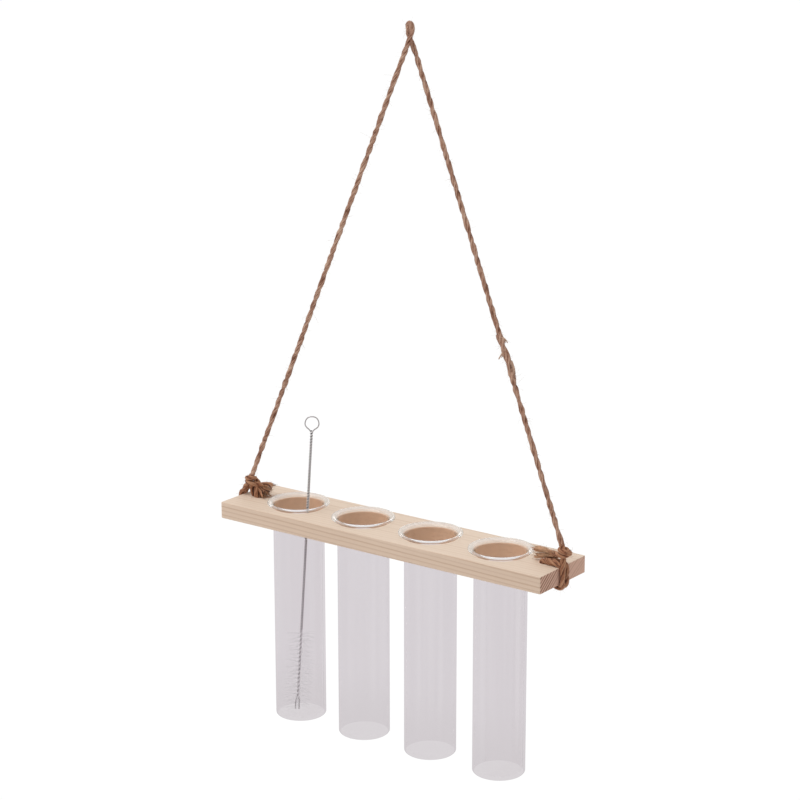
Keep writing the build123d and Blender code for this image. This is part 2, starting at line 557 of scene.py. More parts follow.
@dataclass(frozen=True)
class JuteFinish:
    """Brown jute yarn, with fibres that run along each ply, patches of darker and paler stalk, and painted
    shade in the grooves between the plies.
    """

    name: str = "jute_yarn"
    shadow: Colour = (0.140, 0.050, 0.024)
    body: Colour = (0.405, 0.212, 0.143)
    light: Colour = (0.605, 0.405, 0.295)
    paleness: float = -0.05
    ply_contrast: float = 0.0
    groove_shade_strength: float = 0.62
    fibre_rate: float = 2.1
    fibre_contrast: float = 2.6
    fibre_relief: float = 0.35 * MM
    length_rate: float = 130.0
    yarn_twist: float = -260.0
    stalk_rate: float = 170.0
    stalk_contrast: float = 1.1

    def make(self) -> bpy.types.Material:
        """Builds the material.

        Returns:
            The material.
        """
        skin = Skin(self.name, {"Specular IOR Level": 0.2, "Sheen Weight": 0.12, "Sheen Roughness": 0.6})
        along = skin.attribute("along")
        ply = skin.attribute("ply")
        section = skin.attribute("section", "Vector")
        turn = {"Vector": section, "Angle": along * self.yarn_twist}
        spun = skin.add("ShaderNodeVectorRotate", {"rotation_type": "Z_AXIS"}, turn)
        across, aside, _ = skin.separate(spun)
        thread = skin.combine(
            across * self.fibre_rate, aside * self.fibre_rate, along * self.length_rate + ply * 7.0
        )
        fibres = skin.noise(thread, 1.0, 4.0, 0.65)
        stalk = skin.noise(skin.object_place(), self.stalk_rate, 3.0, 0.6)
        # Painted shade: the tone is lower where the surface lies deep between the plies, and higher on the
        # crest.
        crest = skin.step(skin.attribute("reach"), 0.4, 0.95)
        shade = (skin.noise_along(ply * 2.37 + 0.4, 1.0) - 0.5) * self.ply_contrast
        tone = (fibres - 0.5) * self.fibre_contrast + (stalk - 0.5) * self.stalk_contrast
        tone = tone + crest * self.groove_shade_strength + shade + self.paleness
        stops = [(0.12, self.shadow), (0.48, self.body), (0.88, self.light)]
        skin.feed("Base Color", skin.add("ShaderNodeValToRGB", {"stops": stops}, {"Fac": tone}, "Color"))
        skin.feed("Roughness", 0.78 + fibres * 0.15)
        skin.bump(fibres, self.fibre_relief, 0.9)
        return skin.material


HUNG_JUTE = JuteFinish(paleness=0.15, groove_shade_strength=0.4)
PALE_JUTE = JuteFinish("pale_jute", paleness=0.4)
# Painted shade: a darker, deeper brown copy of the same yarn for the lashings, knots and slack turns,
# standing in for the shade in them.
KNOT_JUTE_PAINTED_SHADE = JuteFinish(
    "knot_jute_painted_shade",
    shadow=(0.105, 0.033, 0.013),
    body=(0.328, 0.130, 0.066),
    light=(0.512, 0.272, 0.152),
    paleness=0.06,
)
LOOSE_JUTE = JuteFinish(
    "loose_jute",
    shadow=(0.150, 0.050, 0.020),
    body=(0.490, 0.222, 0.120),
    light=(0.720, 0.435, 0.265),
    paleness=0.24,
    ply_contrast=1.2,
)
# Painted shade: a darker copy of the yarn for the left tail's plies, standing in for the shade they lie in;
# the tone of each ply also differs at random.
LEFT_TAIL_JUTE_PAINTED_SHADE = JuteFinish(
    "left_tail_jute_painted_shade",
    shadow=(0.080, 0.024, 0.009),
    body=(0.385, 0.142, 0.070),
    light=(0.670, 0.348, 0.190),
    paleness=0.08,
    ply_contrast=2.0,
)


@dataclass(frozen=True)
class FibreFinish:
    """Single loose jute fibres, dark and pale in patches."""

    name: str = "jute_fibre"
    dark: Colour = (0.24, 0.128, 0.070)
    pale: Colour = (0.50, 0.335, 0.215)
    patch_rate: float = 260.0

    def make(self) -> bpy.types.Material:
        """Builds the material.

        Returns:
            The material.
        """
        skin = Skin(self.name, {"Specular IOR Level": 0.25, "Roughness": 0.7})
        patch = skin.noise(skin.object_place(), self.patch_rate, 2.0)
        skin.feed("Base Color", skin.mix(skin.step(patch, 0.3, 0.7), self.dark, self.pale))
        return skin.material


@dataclass(frozen=True)
class SteelFinish:
    """Drawn steel wire with fine draw marks, and painted shade in the groove of its twist that is paler low
    in the tube.
    """

    name: str = "drawn_wire"
    bright: Colour = (0.93, 0.905, 0.91)
    # Painted shade: the groove's colour, nearly black, where the two wires shade each other.
    groove: Colour = (0.012, 0.008, 0.010)
    # Paler painted groove shade, below the board in the tube.
    low_groove: Colour = (0.38, 0.37, 0.375)
    low_top: float = -287 * MM
    low_fade: float = 10 * MM
    groove_reach: float = 0.79
    mark_rate: float = 900.0

    def make(self) -> bpy.types.Material:
        """Builds the material.

        Returns:
            The material.
        """
        skin = Skin(self.name, {"Metallic": 1.0})
        place = skin.object_place()
        height = skin.separate(place)[2]
        above = skin.step(height, self.low_top - self.low_fade, self.low_top)
        marks = skin.noise(place, self.mark_rate, 3.0, 0.6)
        # Painted shade: the groove colour where the surface lies in the twist's groove, the steel's own
        # colour further out.
        outer = skin.step(skin.attribute("reach"), self.groove_reach, 1.0) * (0.75 + marks * 0.4)
        groove = skin.mix(above, self.low_groove, self.groove)
        skin.feed("Base Color", skin.mix(outer, groove, self.bright))
        skin.feed("Roughness", 0.28 + marks * 0.22)
        return skin.material


# The head's wire: its painted groove shade low in the tube is paler than the stem's.
HEAD_STEEL = SteelFinish("head_wire_pale_shade", bright=(0.95, 0.94, 0.945), low_groove=(0.68, 0.665, 0.67))
RING_STEEL = SteelFinish("ring_wire", bright=(0.42, 0.395, 0.40))
END_STEEL = SteelFinish("end_wire", bright=(0.66, 0.645, 0.65))


@dataclass(frozen=True)
class NylonFinish:
    """Clear nylon strands, milky along their length."""

    name: str = "clear_nylon"
    clear: Colour = (0.93, 0.93, 0.945)
    milky: Colour = (0.97, 0.97, 0.97)
    opacity: float = 0.1
    index: float = 1.53
    cloud_rate: float = 700.0

    def make(self) -> bpy.types.Material:
        """Builds the material.

        Returns:
            The material.
        """
        skin = Skin(self.name, {"Roughness": 0.3, "Alpha": self.opacity, "IOR": self.index})
        cloud = skin.noise(skin.object_place(), self.cloud_rate, 2.0)
        skin.feed("Base Color", skin.mix(cloud, self.clear, self.milky))
        return skin.material


def put(name: str, data: Any) -> bpy.types.Object:
    """Adds an object to the scene.

    Args:
        name: The object's name.
        data: Its mesh, curve, light or camera.

    Returns:
        The new object.
    """
    item = bpy.data.objects.new(name, data)
    bpy.context.scene.collection.objects.link(item)
    return item


def take_mesh(carrier: bpy.types.Object) -> bpy.types.Mesh:
    """Reads what an object's spline or modifier makes, and removes the object.

    Args:
        carrier: An object in the scene.

    Returns:
        The result as a plain mesh.
    """
    depsgraph = bpy.context.evaluated_depsgraph_get()
    shaped = carrier.evaluated_get(depsgraph)
    made = bpy.data.meshes.new_from_object(shaped, preserve_all_data_layers=True, depsgraph=depsgraph)
    bpy.data.objects.remove(carrier)
    return made


class Recipe:
    """A Geometry Nodes tree with named inputs that turns one mesh into another."""

    name = "recipe"
    inputs: tuple[tuple[str, str], ...] = ()

    def __init__(self) -> None:
        """Makes the tree's inputs and builds it."""
        self.group = bpy.data.node_groups.new(self.name, "GeometryNodeTree")
        interface = self.group.interface
        interface.new_socket("Geometry", in_out="INPUT", socket_type="NodeSocketGeometry")
        for label, kind in self.inputs + (("Material", "NodeSocketMaterial"),):
            interface.new_socket(label, in_out="INPUT", socket_type=kind)
        interface.new_socket("Geometry", in_out="OUTPUT", socket_type="NodeSocketGeometry")
        self.bench = NodeBench(self.group)
        self.source = self.bench.add("NodeGroupInput")
        smooth = self.bench.add("GeometryNodeSetShadeSmooth", None, {"Geometry": self.build()})
        whole = self.bench.add("GeometryNodeRealizeInstances", None, {"Geometry": smooth})
        dressed = {"Geometry": whole, "Material": self.given("Material")}
        made = self.bench.add("GeometryNodeSetMaterial", None, dressed)
        sink = self.group.nodes.new("NodeGroupOutput")
        self.group.links.new(made.socket, sink.inputs[0])

    def build(self) -> Field:
        """Adds the recipe's own nodes and returns its geometry."""
        raise NotImplementedError

    def given(self, label: str) -> Field:
        """One of the named inputs."""
        return self.source.sibling(label)

    def random(self, low: Number, high: Number, seed: Number) -> Field:
        """A random number for each element."""
        inputs = {"Min_001": low, "Max_001": high, "Seed": seed}
        return self.bench.add("FunctionNodeRandomValue", {"data_type": "FLOAT"}, inputs, "Value_001")

    def run(self, mesh: bpy.types.Mesh, values: Mapping[str, Any]) -> bpy.types.Mesh:
        """Runs the tree on a mesh.

        Args:
            mesh: What the tree starts from.
            values: The inputs by name.

        Returns:
            The result as a plain mesh.
        """
        carrier = put(self.name, mesh)
        modifier = carrier.modifiers.new(self.name, "NODES")
        modifier.node_group = self.group
        for item in self.group.interface.items_tree:
            if item.in_out == "INPUT" and item.name in values:
                modifier[item.identifier] = values[item.name]
        return take_mesh(carrier)


class LaidStrands(Recipe):
    """Strands laid round a path: a twine's plies, a twisted pair of wires, or one bare wire."""

    name = "laid_strands"
    inputs = (
        ("Step", "NodeSocketFloat"),
        ("Strands", "NodeSocketInt"),
        ("Lay Pitch", "NodeSocketFloat"),
        ("Lay Radius", "NodeSocketFloat"),
        ("Strand Radius", "NodeSocketFloat"),
        ("Unevenness", "NodeSocketFloat"),
        ("Ridge", "NodeSocketFloat"),
        ("Tip Length", "NodeSocketFloat"),
        ("Flare", "NodeSocketFloat"),
        ("Ragged", "NodeSocketFloat"),
        ("Sides", "NodeSocketInt"),
        ("Seed", "NodeSocketInt"),
    )
    swell_rate = 150.0
    swell_share = 1.5
    wander_rate = 55.0
    wander_share = 1.6
    ridge_rate = 2.2
    ridge_run = 160.0
    tip_share = 0.3
    tip_curve = 0.6
    smallest_share = 0.0001
    smallest_length = 0.01 * MM

    def build(self) -> Field:
        """Offsets copies of the path in a helix and sweeps an uneven round section along them.

        Returns:
            The strands, with the attributes that the finishes read.
        """
        bench = self.bench
        seed = self.given("Seed")
        uneven = self.given("Unevenness")
        line = bench.add("GeometryNodeMeshToCurve", None, {"Mesh": self.given("Geometry")})
        spaced = {"Curve": line, "Length": self.given("Step")}
        line = bench.add("GeometryNodeResampleCurve", {"mode": "LENGTH"}, spaced)
        line = bench.add("GeometryNodeSetCurveNormal", {"mode": "MINIMUM_TWIST"}, {"Curve": line})
        copies = {"Geometry": line, "Amount": self.given("Strands")}
        plies = bench.add("GeometryNodeDuplicateElements", {"domain": "SPLINE"}, copies)
        ply = plies.sibling("Duplicate Index")
        cut = {"Curve": plies, "End": 1.0 - self.given("Ragged") * self.random(0.0, 1.0, seed)}
        plies = bench.add("GeometryNodeTrimCurve", {"mode": "FACTOR"}, cut)
        share = bench.add("GeometryNodeSplineParameter", None, None, "Factor")
        along = share.sibling("Length")
        plies = self.store(plies, "along", along)
        plies = self.store(plies, "ply", ply)
        plies = self.store(plies, "axis", bench.add("GeometryNodeInputPosition"), "FLOAT_VECTOR")
        wander = bench.noise_along(along * self.wander_rate + seed * 3.7, 1.0) - 0.5
        turns = along / self.given("Lay Pitch") + ply / self.given("Strands")
        turn = (turns + wander * uneven * self.wander_share) * TAU
        normal = bench.add("GeometryNodeInputNormal", None, None, "Normal")
        tangent = bench.add("GeometryNodeInputTangent")
        aside = bench.vector("CROSS_PRODUCT", tangent, normal)
        stray = bench.noise_along(along * self.swell_rate + ply * 7.3 + seed * 1.9, 1.0) + 0.4
        reach = self.given("Lay Radius") * (1.0 + self.given("Flare") * share * share * stray)
        first = bench.vector("SCALE", normal, scale=bench.math("COSINE", turn) * reach)
        second = bench.vector("SCALE", aside, scale=bench.math("SINE", turn) * reach)
        moved = {"Geometry": plies, "Offset": bench.vector("ADD", first, second)}
        plies = bench.add("GeometryNodeSetPosition", None, moved)
        swell = bench.noise_along(along * self.swell_rate + ply * 11.0 + seed * 5.3, 1.0, 2.0) - 0.5
        to_end = (1.0 - share) * along / bench.math("MAXIMUM", share, self.smallest_share)
        tip_length = bench.math("MAXIMUM", self.given("Tip Length"), self.smallest_length)
        tip = bench.math("MINIMUM", to_end / tip_length, 1.0)
        thinned = self.tip_share + tip ** self.tip_curve * (1.0 - self.tip_share)
        radius = self.given("Strand Radius") * (1.0 + swell * uneven * self.swell_share) * thinned
        circle = {"Resolution": self.given("Sides"), "Radius": 1.0}
        ring = bench.add("GeometryNodeCurvePrimitiveCircle", None, circle)
        ring = self.store(ring, "section", bench.add("GeometryNodeInputPosition"), "FLOAT_VECTOR")
        swept = {"Curve": plies, "Profile Curve": ring, "Scale": radius, "Fill Caps": True}
        body = self.raise_ridges(bench.add("GeometryNodeCurveToMesh", None, swept))
        outermost = self.given("Lay Radius") + self.given("Strand Radius")
        out = bench.distance(bench.add("GeometryNodeInputPosition"), self.stored("axis", "FLOAT_VECTOR"))
        return self.store(body, "reach", out / outermost)

    def store(self, geometry: Field, name: str, value: Field, data_type: str = "FLOAT") -> Field:
        """Stores a value on each point under a name.

        Args:
            geometry: What it is stored on.
            name: The attribute's name.
            value: The value.
            data_type: The attribute's type.

        Returns:
            The geometry with the attribute.
        """
        settings = {"data_type": data_type, "domain": "POINT"}
        inputs = {"Geometry": geometry, "Name": name, "Value": value}
        return self.bench.add("GeometryNodeStoreNamedAttribute", settings, inputs)

    def stored(self, name: str, data_type: str = "FLOAT") -> Field:
        """Reads a stored value back."""
        return self.bench.add("GeometryNodeInputNamedAttribute", {"data_type": data_type}, {"Name": name})

    def raise_ridges(self, body: Field) -> Field:
        """Raises the surface in ridges that run along the fibres.

        Args:
            body: The swept strands.

        Returns:
            The strands with their ridges.
        """
        bench = self.bench
        across, aside, _ = bench.separate(self.stored("section", "FLOAT_VECTOR"))
        run = self.stored("along") * self.ridge_run + self.stored("ply") * 9.0 + self.given("Seed") * 2.9
        thread = bench.combine(across * self.ridge_rate, aside * self.ridge_rate, run)
        height = (bench.noise(thread, 1.0, 3.0, 0.6) - 0.5) * self.given("Ridge")
        normal = bench.add("GeometryNodeInputNormal", None, None, "Normal")
        raised = {"Geometry": body, "Offset": bench.vector("SCALE", normal, scale=height)}
        return bench.add("GeometryNodeSetPosition", None, raised)


class LooseFibres(Recipe):
    """Fine bent fibres that stand out of a surface."""

    name = "loose_fibres"
    inputs = (
        ("Density", "NodeSocketFloat"),
        ("Length", "NodeSocketFloat"),
        ("Thickness", "NodeSocketFloat"),
        ("Axis", "NodeSocketVector"),
        ("Lean", "NodeSocketFloat"),
        ("Spread", "NodeSocketFloat"),
        ("Seed", "NodeSocketInt"),
    )
    fibre_points = 6
    bend = 0.42
    tip_thinning = 0.6
    thickness_range = (0.3, 1.5)
    length_range = (0.35, 1.25)

    def build(self) -> Field:
        """Scatters points on the faces and sets a bent fibre on each.

        Returns:
            The fibres.
        """
        bench = self.bench
        seed = self.given("Seed")
        length = self.given("Length")
        scatter = {"Mesh": self.given("Geometry"), "Density": self.given("Density"), "Seed": seed}
        roots = bench.add("GeometryNodeDistributePointsOnFaces", None, scatter)
        lean = self.given("Lean")
        outward = bench.vector("SCALE", roots.sibling("Normal"), scale=1.0 - lean)
        forward = bench.vector("SCALE", self.given("Axis"), scale=lean)
        ranges = {"Min": (-1.0, -1.0, -1.0), "Max": (1.0, 1.0, 1.0), "Seed": seed + 1.0}
        stray = bench.add("FunctionNodeRandomValue", {"data_type": "FLOAT_VECTOR"}, ranges, "Value")
        stray = bench.vector("SCALE", stray, scale=self.given("Spread"))
        way = bench.vector("ADD", bench.vector("ADD", outward, forward), stray)
        stood = bench.add("FunctionNodeAlignRotationToVector", {"axis": "Z"}, {"Vector": way})
        spin = {"Axis": (0.0, 0.0, 1.0), "Angle": self.random(0.0, TAU, seed + 2.0)}
        spin = bench.add("FunctionNodeAxisAngleToRotation", None, spin)
        turned = {"Rotation": stood, "Rotate By": spin}
        turned = bench.add("FunctionNodeRotateRotation", {"rotation_space": "LOCAL"}, turned)
        thickness = self.random(*self.thickness_range, seed + 3.0)
        sizes = bench.combine(thickness, 1.0, self.random(*self.length_range, seed + 4.0))
        placed = {"Points": roots, "Instance": self.fibre(length), "Rotation": turned, "Scale": sizes}
        return bench.add("GeometryNodeInstanceOnPoints", None, placed)

    def fibre(self, length: Field) -> Field:
        """One three-sided fibre that bends over and thins to its tip.

        Args:
            length: How long it is before it is scaled.

        Returns:
            The fibre, with its root at the origin.
        """
        bench = self.bench
        path = {
            "Resolution": self.fibre_points,
            "Start": (0.0, 0.0, 0.0),
            "Middle": bench.combine(0.0, 0.0, length * 0.6),
            "End": bench.combine(length * self.bend, 0.0, length * 0.9),
        }
        line = bench.add("GeometryNodeCurveQuadraticBezier", None, path)
        ring = bench.add("GeometryNodeCurvePrimitiveCircle", None, {"Resolution": 3, "Radius": 0.5})
        share = bench.add("GeometryNodeSplineParameter", None, None, "Factor")
        thin = self.given("Thickness") * (1.0 - share * self.tip_thinning)
        swept = {"Curve": line, "Profile Curve": ring, "Scale": thin, "Fill Caps": True}
        return bench.add("GeometryNodeCurveToMesh", None, swept)


class BristleSpiral(Recipe):
    """Bristles held in a twist of wire, set in a spiral up the Z axis."""

    name = "bristle_spiral"
    inputs = (
        ("Count", "NodeSocketInt"),
        ("Head Length", "NodeSocketFloat"),
        ("Bristle Length", "NodeSocketFloat"),
        ("Bristle Radius", "NodeSocketFloat"),
        ("Turns", "NodeSocketFloat"),
        ("Jitter", "NodeSocketFloat"),
        ("Seed", "NodeSocketInt"),
    )
    bristle_points = 4
    droop = 0.10
    tilt_share = 0.35
    length_range = (0.86, 1.03)

    def build(self) -> Field:
        """Sets bristles along the axis, each turned on from the last and on its other side.

        Returns:
            The bristles.
        """
        bench = self.bench
        seed = self.given("Seed")
        count = self.given("Count")
        gap = bench.combine(0.0, 0.0, self.given("Head Length") / count)
        roots = bench.add("GeometryNodeMeshLine", None, {"Count": count, "Offset": gap})
        index = bench.add("GeometryNodeInputIndex")
        jitter = self.given("Jitter")
        turn = index * self.given("Turns") / count * TAU + bench.math("MODULO", index, 2.0) * math.pi
        turn = turn + self.random(jitter * -1.0, jitter, seed)
        tilt = QUARTER + self.random(jitter * -self.tilt_share, jitter * self.tilt_share, seed + 1.0)
        euler = bench.combine(0.0, tilt, turn)
        stood = bench.add("FunctionNodeEulerToRotation", None, {"Euler": euler})
        sizes = bench.combine(1.0, 1.0, self.random(*self.length_range, seed + 2.0))
        placed = {"Points": roots, "Instance": self.bristle(), "Rotation": stood, "Scale": sizes}
        return bench.add("GeometryNodeInstanceOnPoints", None, placed)

    def bristle(self) -> Field:
        """One three-sided bristle, a little bowed.

        Returns:
            The bristle, with its root at the origin.
        """
        bench = self.bench
        length = self.given("Bristle Length")
        path = {
            "Resolution": self.bristle_points,
            "Start": (0.0, 0.0, 0.0),
            "Middle": bench.combine(0.0, 0.0, length * 0.5),
            "End": bench.combine(length * self.droop, 0.0, length),
        }
        line = bench.add("GeometryNodeCurveQuadraticBezier", None, path)
        ring = bench.add("GeometryNodeCurvePrimitiveCircle", None, {"Resolution": 3, "Radius": 1.0})
        swept = {
            "Curve": line, "Profile Curve": ring, "Scale": self.given("Bristle Radius"), "Fill Caps": True
        }
        return bench.add("GeometryNodeCurveToMesh", None, swept)


@dataclass(frozen=True)
class Route:
    """Points that a cord or wire is laid along, in metres."""

    name: str
    points: tuple[Point, ...]
    resolution: int = 24

    def line(self) -> bpy.types.Mesh:
        """Reads the smooth line of the route's spline.

        Returns:
            A mesh of points and edges.
        """
        curve = bpy.data.curves.new(self.name, "CURVE")
        curve.dimensions = "3D"
        curve.resolution_u = self.resolution
        spline = curve.splines.new("NURBS")
        spline.points.add(len(self.points) - 1)
        for knot, place in zip(spline.points, self.points):
            knot.co = (*place, 1.0)
        spline.order_u = 3
        spline.use_endpoint_u = True
        return take_mesh(put(self.name, curve))


def show(
    name: str, mesh: bpy.types.Mesh, body: str, replaces: Sequence[str] = ()
) -> bpy.types.Object:
    """Adds a finished mesh to the scene as one piece.

    Args:
        name: The piece's name.
        mesh: Its mesh, in place and with its material.
        body: The body that it rides on.
        replaces: The nodes that it stands for.

    Returns:
        The new object.
    """
    mesh.name = name
    piece = put(name, mesh)
    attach(piece, body)
    if replaces:
        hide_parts(*replaces)
    LOG.info("%s: %d faces, rides on %s", name, len(mesh.polygons), body)
    return piece


def in_metres(points: Sequence[Point]) -> tuple[Point, ...]:
    """Turns points in millimetres into points in metres."""
    return tuple((x * MM, y * MM, z * MM) for x, y, z in points)


@dataclass
class Board:
    """The pine board, with four tube holes and a twine hole near each end."""

    finish: PineFinish
    edge_round: float = 0.45 * MM
    corner_round: float = 0.8 * MM
    round_steps: int = 3
    corner_steps: int = 4
    tube_hole_radius: float = 15.6 * MM
    twine_hole_radius: float = 3.3 * MM
    twine_hole_inset: float = TWINE_HOLE_INSET * MM
    hole_sides: int = 96

    def profile(self) -> list[tuple[float, float]]:
        """The rings of the rounded edges.

        Returns:
            How far in from the outline, and how high, each ring is, from the top down.
        """
        low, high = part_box(RACK_NODE)
        upper = []
        for i in range(self.round_steps + 1):
            angle = QUARTER * i / self.round_steps
            inset = self.edge_round * (1 - math.sin(angle))
            upper.append((inset, high.z - self.edge_round * (1 - math.cos(angle))))
        lower = [(inset, low.z + high.z - height) for inset, height in reversed(upper)]
        return upper + lower

    def outline(self, inset: float) -> list[tuple[float, float]]:
        """The board's outline with rounded corners.

        Args:
            inset: How far it is drawn in.

        Returns:
            Points as (x, y).
        """
        low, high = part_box(RACK_NODE)
        points = []
        corners = (
            (high.x, high.y, 1, 1),
            (low.x, high.y, -1, 1),
            (low.x, low.y, -1, -1),
            (high.x, low.y, 1, -1),
        )
        for quarter, (x, y, side, end) in enumerate(corners):
            for i in range(self.corner_steps + 1):
                angle = QUARTER * (quarter + i / self.corner_steps)
                reach = self.corner_round - inset
                centre_x = x - side * self.corner_round
                centre_y = y - end * self.corner_round
                points.append((centre_x + reach * math.cos(angle), centre_y + reach * math.sin(angle)))
        return points

    def hole(self, x: float, y: float, radius: float) -> list[tuple[float, float]]:
        """A hole's edge."""
        angles = [TAU * i / self.hole_sides for i in range(self.hole_sides)]
        return [(x + radius * math.cos(a), y + radius * math.sin(a)) for a in angles]

    def edges_at(self, inset: float) -> list[list[tuple[float, float]]]:
        """The outline and every hole's edge.

        Args:
            inset: How far each is drawn into the wood.

        Returns:
            The outline first, then the holes, each as points (x, y).
        """
        low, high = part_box(RACK_NODE)
        middle = (low.y + high.y) / 2
        loops = [self.outline(inset)]
        for node in TUBE_NODES:
            near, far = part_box(node)
            centre = (near + far) / 2
            loops.append(self.hole(centre.x, centre.y, self.tube_hole_radius + inset))
        for x in (low.x + self.twine_hole_inset, high.x - self.twine_hole_inset):
            loops.append(self.hole(x, middle, self.twine_hole_radius + inset))
        return loops

    def mesh(self) -> bpy.types.Mesh:
        """Builds the walls ring by ring and fills the two faces between them.

        Returns:
            The board's mesh, with the holes' walls marked as bored.
        """
        wood = bmesh.new()
        bored = wood.faces.layers.float.new("bored")
        rings = []
        for inset, height in self.profile():
            loops = self.edges_at(inset)
            rings.append([[wood.verts.new((x, y, height)) for x, y in loop] for loop in loops])
        for upper, lower in zip(rings, rings[1:]):
            for above, below in zip(upper, lower):
                for i, vert in enumerate(above):
                    wall = wood.faces.new((above[i - 1], vert, below[i], below[i - 1]))
                    wall.smooth = True
                    wall[bored] = 0.0 if above is upper[0] else 1.0
        sharp_rings = (rings[0], rings[self.round_steps], rings[self.round_steps + 1], rings[-1])
        for ring in sharp_rings:
            for loop in ring:
                for i, vert in enumerate(loop):
                    wood.edges.get((loop[i - 1], vert)).smooth = False
        for ring in (rings[0], rings[-1]):
            edges = [wood.edges.get((loop[i - 1], vert)) for loop in ring for i, vert in enumerate(loop)]
            bmesh.ops.triangle_fill(wood, edges=edges, use_beauty=True, use_dissolve=False)
        bmesh.ops.recalc_face_normals(wood, faces=wood.faces)
        mesh = bpy.data.meshes.new(RACK_NODE)
        wood.to_mesh(mesh)
        wood.free()
        mesh.materials.append(self.finish.make())
        return mesh

    def build(self) -> None:
        """Shows the board."""
        show("pine_board", self.mesh(), "rack", (RACK_NODE,))


@dataclass
class GlassTubes:
    """The four flared tubes, turned on their axes."""

    finish: GlassFinish
    flare_finish: RimFinish
    lip_finish: RimFinish
    film_finish: FilmFinish
    filmed_nodes: tuple[str, ...] = ("tube_2", "tube_3")
    flare_depth: float = 2.3 * MM
    lip_depth: float = 1.0 * MM
    radius: float = 15 * MM
    wall: float = 1.5 * MM
    foot_radius: float = 1.3 * MM
    foot_inner_radius: float = 1.6 * MM
    foot_points: int = 2
    foot_cast: float = 0.72
    lip_thickness: float = 1.3 * MM
    sides: int = 120
    arc_steps: int = 10

    def arc(self, out: float, up: float, size: float, start: float, end: float) -> list[tuple[float, float]]:
        """Points of an arc in the profile.

        Args:
            out: The arc's centre, out from the axis.
            up: The arc's centre, up.
            size: Its radius.
            start: Its first angle, from straight out.
            end: Its last angle.

        Returns:
            Points as (out, up).
        """
        angles = [start + (end - start) * i / self.arc_steps for i in range(self.arc_steps + 1)]
        return [(out + size * math.cos(a), up + size * math.sin(a)) for a in angles]

    def profile(self, rim: float, floor: float, top: float) -> list[tuple[float, float]]:
        """The section from the middle of the foot, up the outside, over the lip and down the inside.

        Args:
            rim: The lip's outer radius.
            floor: The height of the foot.
            top: The height of the lip's top.

        Returns:
            Points as (out, up).
        """
        inner = self.radius - self.wall
        lip = self.lip_thickness / 2
        lip_out = rim - lip
        flare = lip_out - self.radius
        flare_inner = lip_out - inner
        foot, foot_in = self.foot_radius, self.foot_inner_radius
        points = [(0.0, floor)]
        points += self.arc(self.radius - foot, floor + foot, foot, -QUARTER, 0)
        points += self.arc(lip_out, top - 2 * lip - flare, flare, math.pi, QUARTER)
        points += self.arc(lip_out, top - lip, lip, -QUARTER, QUARTER)[1:-1]
        points += self.arc(lip_out, top - flare_inner, flare_inner, QUARTER, math.pi)
        points += self.arc(inner - foot_in, floor + self.wall + foot_in, foot_in, 0, -QUARTER)
        points.append((0.0, floor + self.wall))
        return points

    def cast_at(self, place: int, lip: int) -> float:
        """How much of the glass's cast a point has: less under the foot and none inside.

        Args:
            place: Which point of the profile it is.
            lip: Which point is the top of the lip.

        Returns:
            A share from 0 to 1.
        """
        if place > lip:
            return 0.0
        return self.foot_cast if place < self.foot_points else 1.0

    def mesh(self, node: str, materials: Sequence[bpy.types.Material]) -> bpy.types.Mesh:
        """Turns the profile round one tube's axis.

        Args:
            node: The tube's node.
            materials: The finish of its body, of its flare, of its lip and of its inner film.

        Returns:
            The tube's mesh.
        """
        low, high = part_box(node)
        centre = (low + high) / 2
        profile = self.profile((high.x - low.x) / 2, low.z, high.z)
        heights = [up for _, up in profile]
        lip = heights.index(max(heights))
        glass = bmesh.new()
        outside = glass.verts.layers.float.new("outside")
        rows = []
        for place, (out, up) in enumerate(profile):
            count = self.sides if out > 0 else 1
            row = []
            for i in range(count):
                angle = TAU * i / count
                x = centre.x + out * math.cos(angle)
                y = centre.y + out * math.sin(angle)
                vert = glass.verts.new((x, y, up))
                vert[outside] = self.cast_at(place, lip)
                row.append(vert)
            rows.append(row)
        for place, (lower, upper) in enumerate(zip(rows, rows[1:])):
            depth = high.z - (lower[0].co.z + upper[0].co.z) / 2
            zone = int(depth < self.flare_depth) + int(depth < self.lip_depth)
            corners = ((lower, 0), (lower, 1), (upper, 1), (upper, 0))
            for i in range(self.sides):
                ends = [row[(i + step) % len(row)] for row, step in corners]
                face = glass.faces.new(list(dict.fromkeys(ends)))
                face.smooth = True
                leftward = math.cos(TAU * (i + 0.5) / self.sides) < 0
                filmed = place >= lip and zone == 0 and (leftward or node in self.filmed_nodes)
                face.material_index = len(materials) - 1 if filmed else zone
        bmesh.ops.recalc_face_normals(glass, faces=glass.faces)
        mesh = bpy.data.meshes.new(node)
        glass.to_mesh(mesh)
        glass.free()
        for material in materials:
            mesh.materials.append(material)
        return mesh

    def build(self) -> None:
        """Shows the tubes, each on its own body."""
        finishes = (self.finish, self.flare_finish, self.lip_finish, self.film_finish)
        materials = [finish.make() for finish in finishes]
        for node in TUBE_NODES:
            show(f"glass_{node}", self.mesh(node, materials), node, (node,))


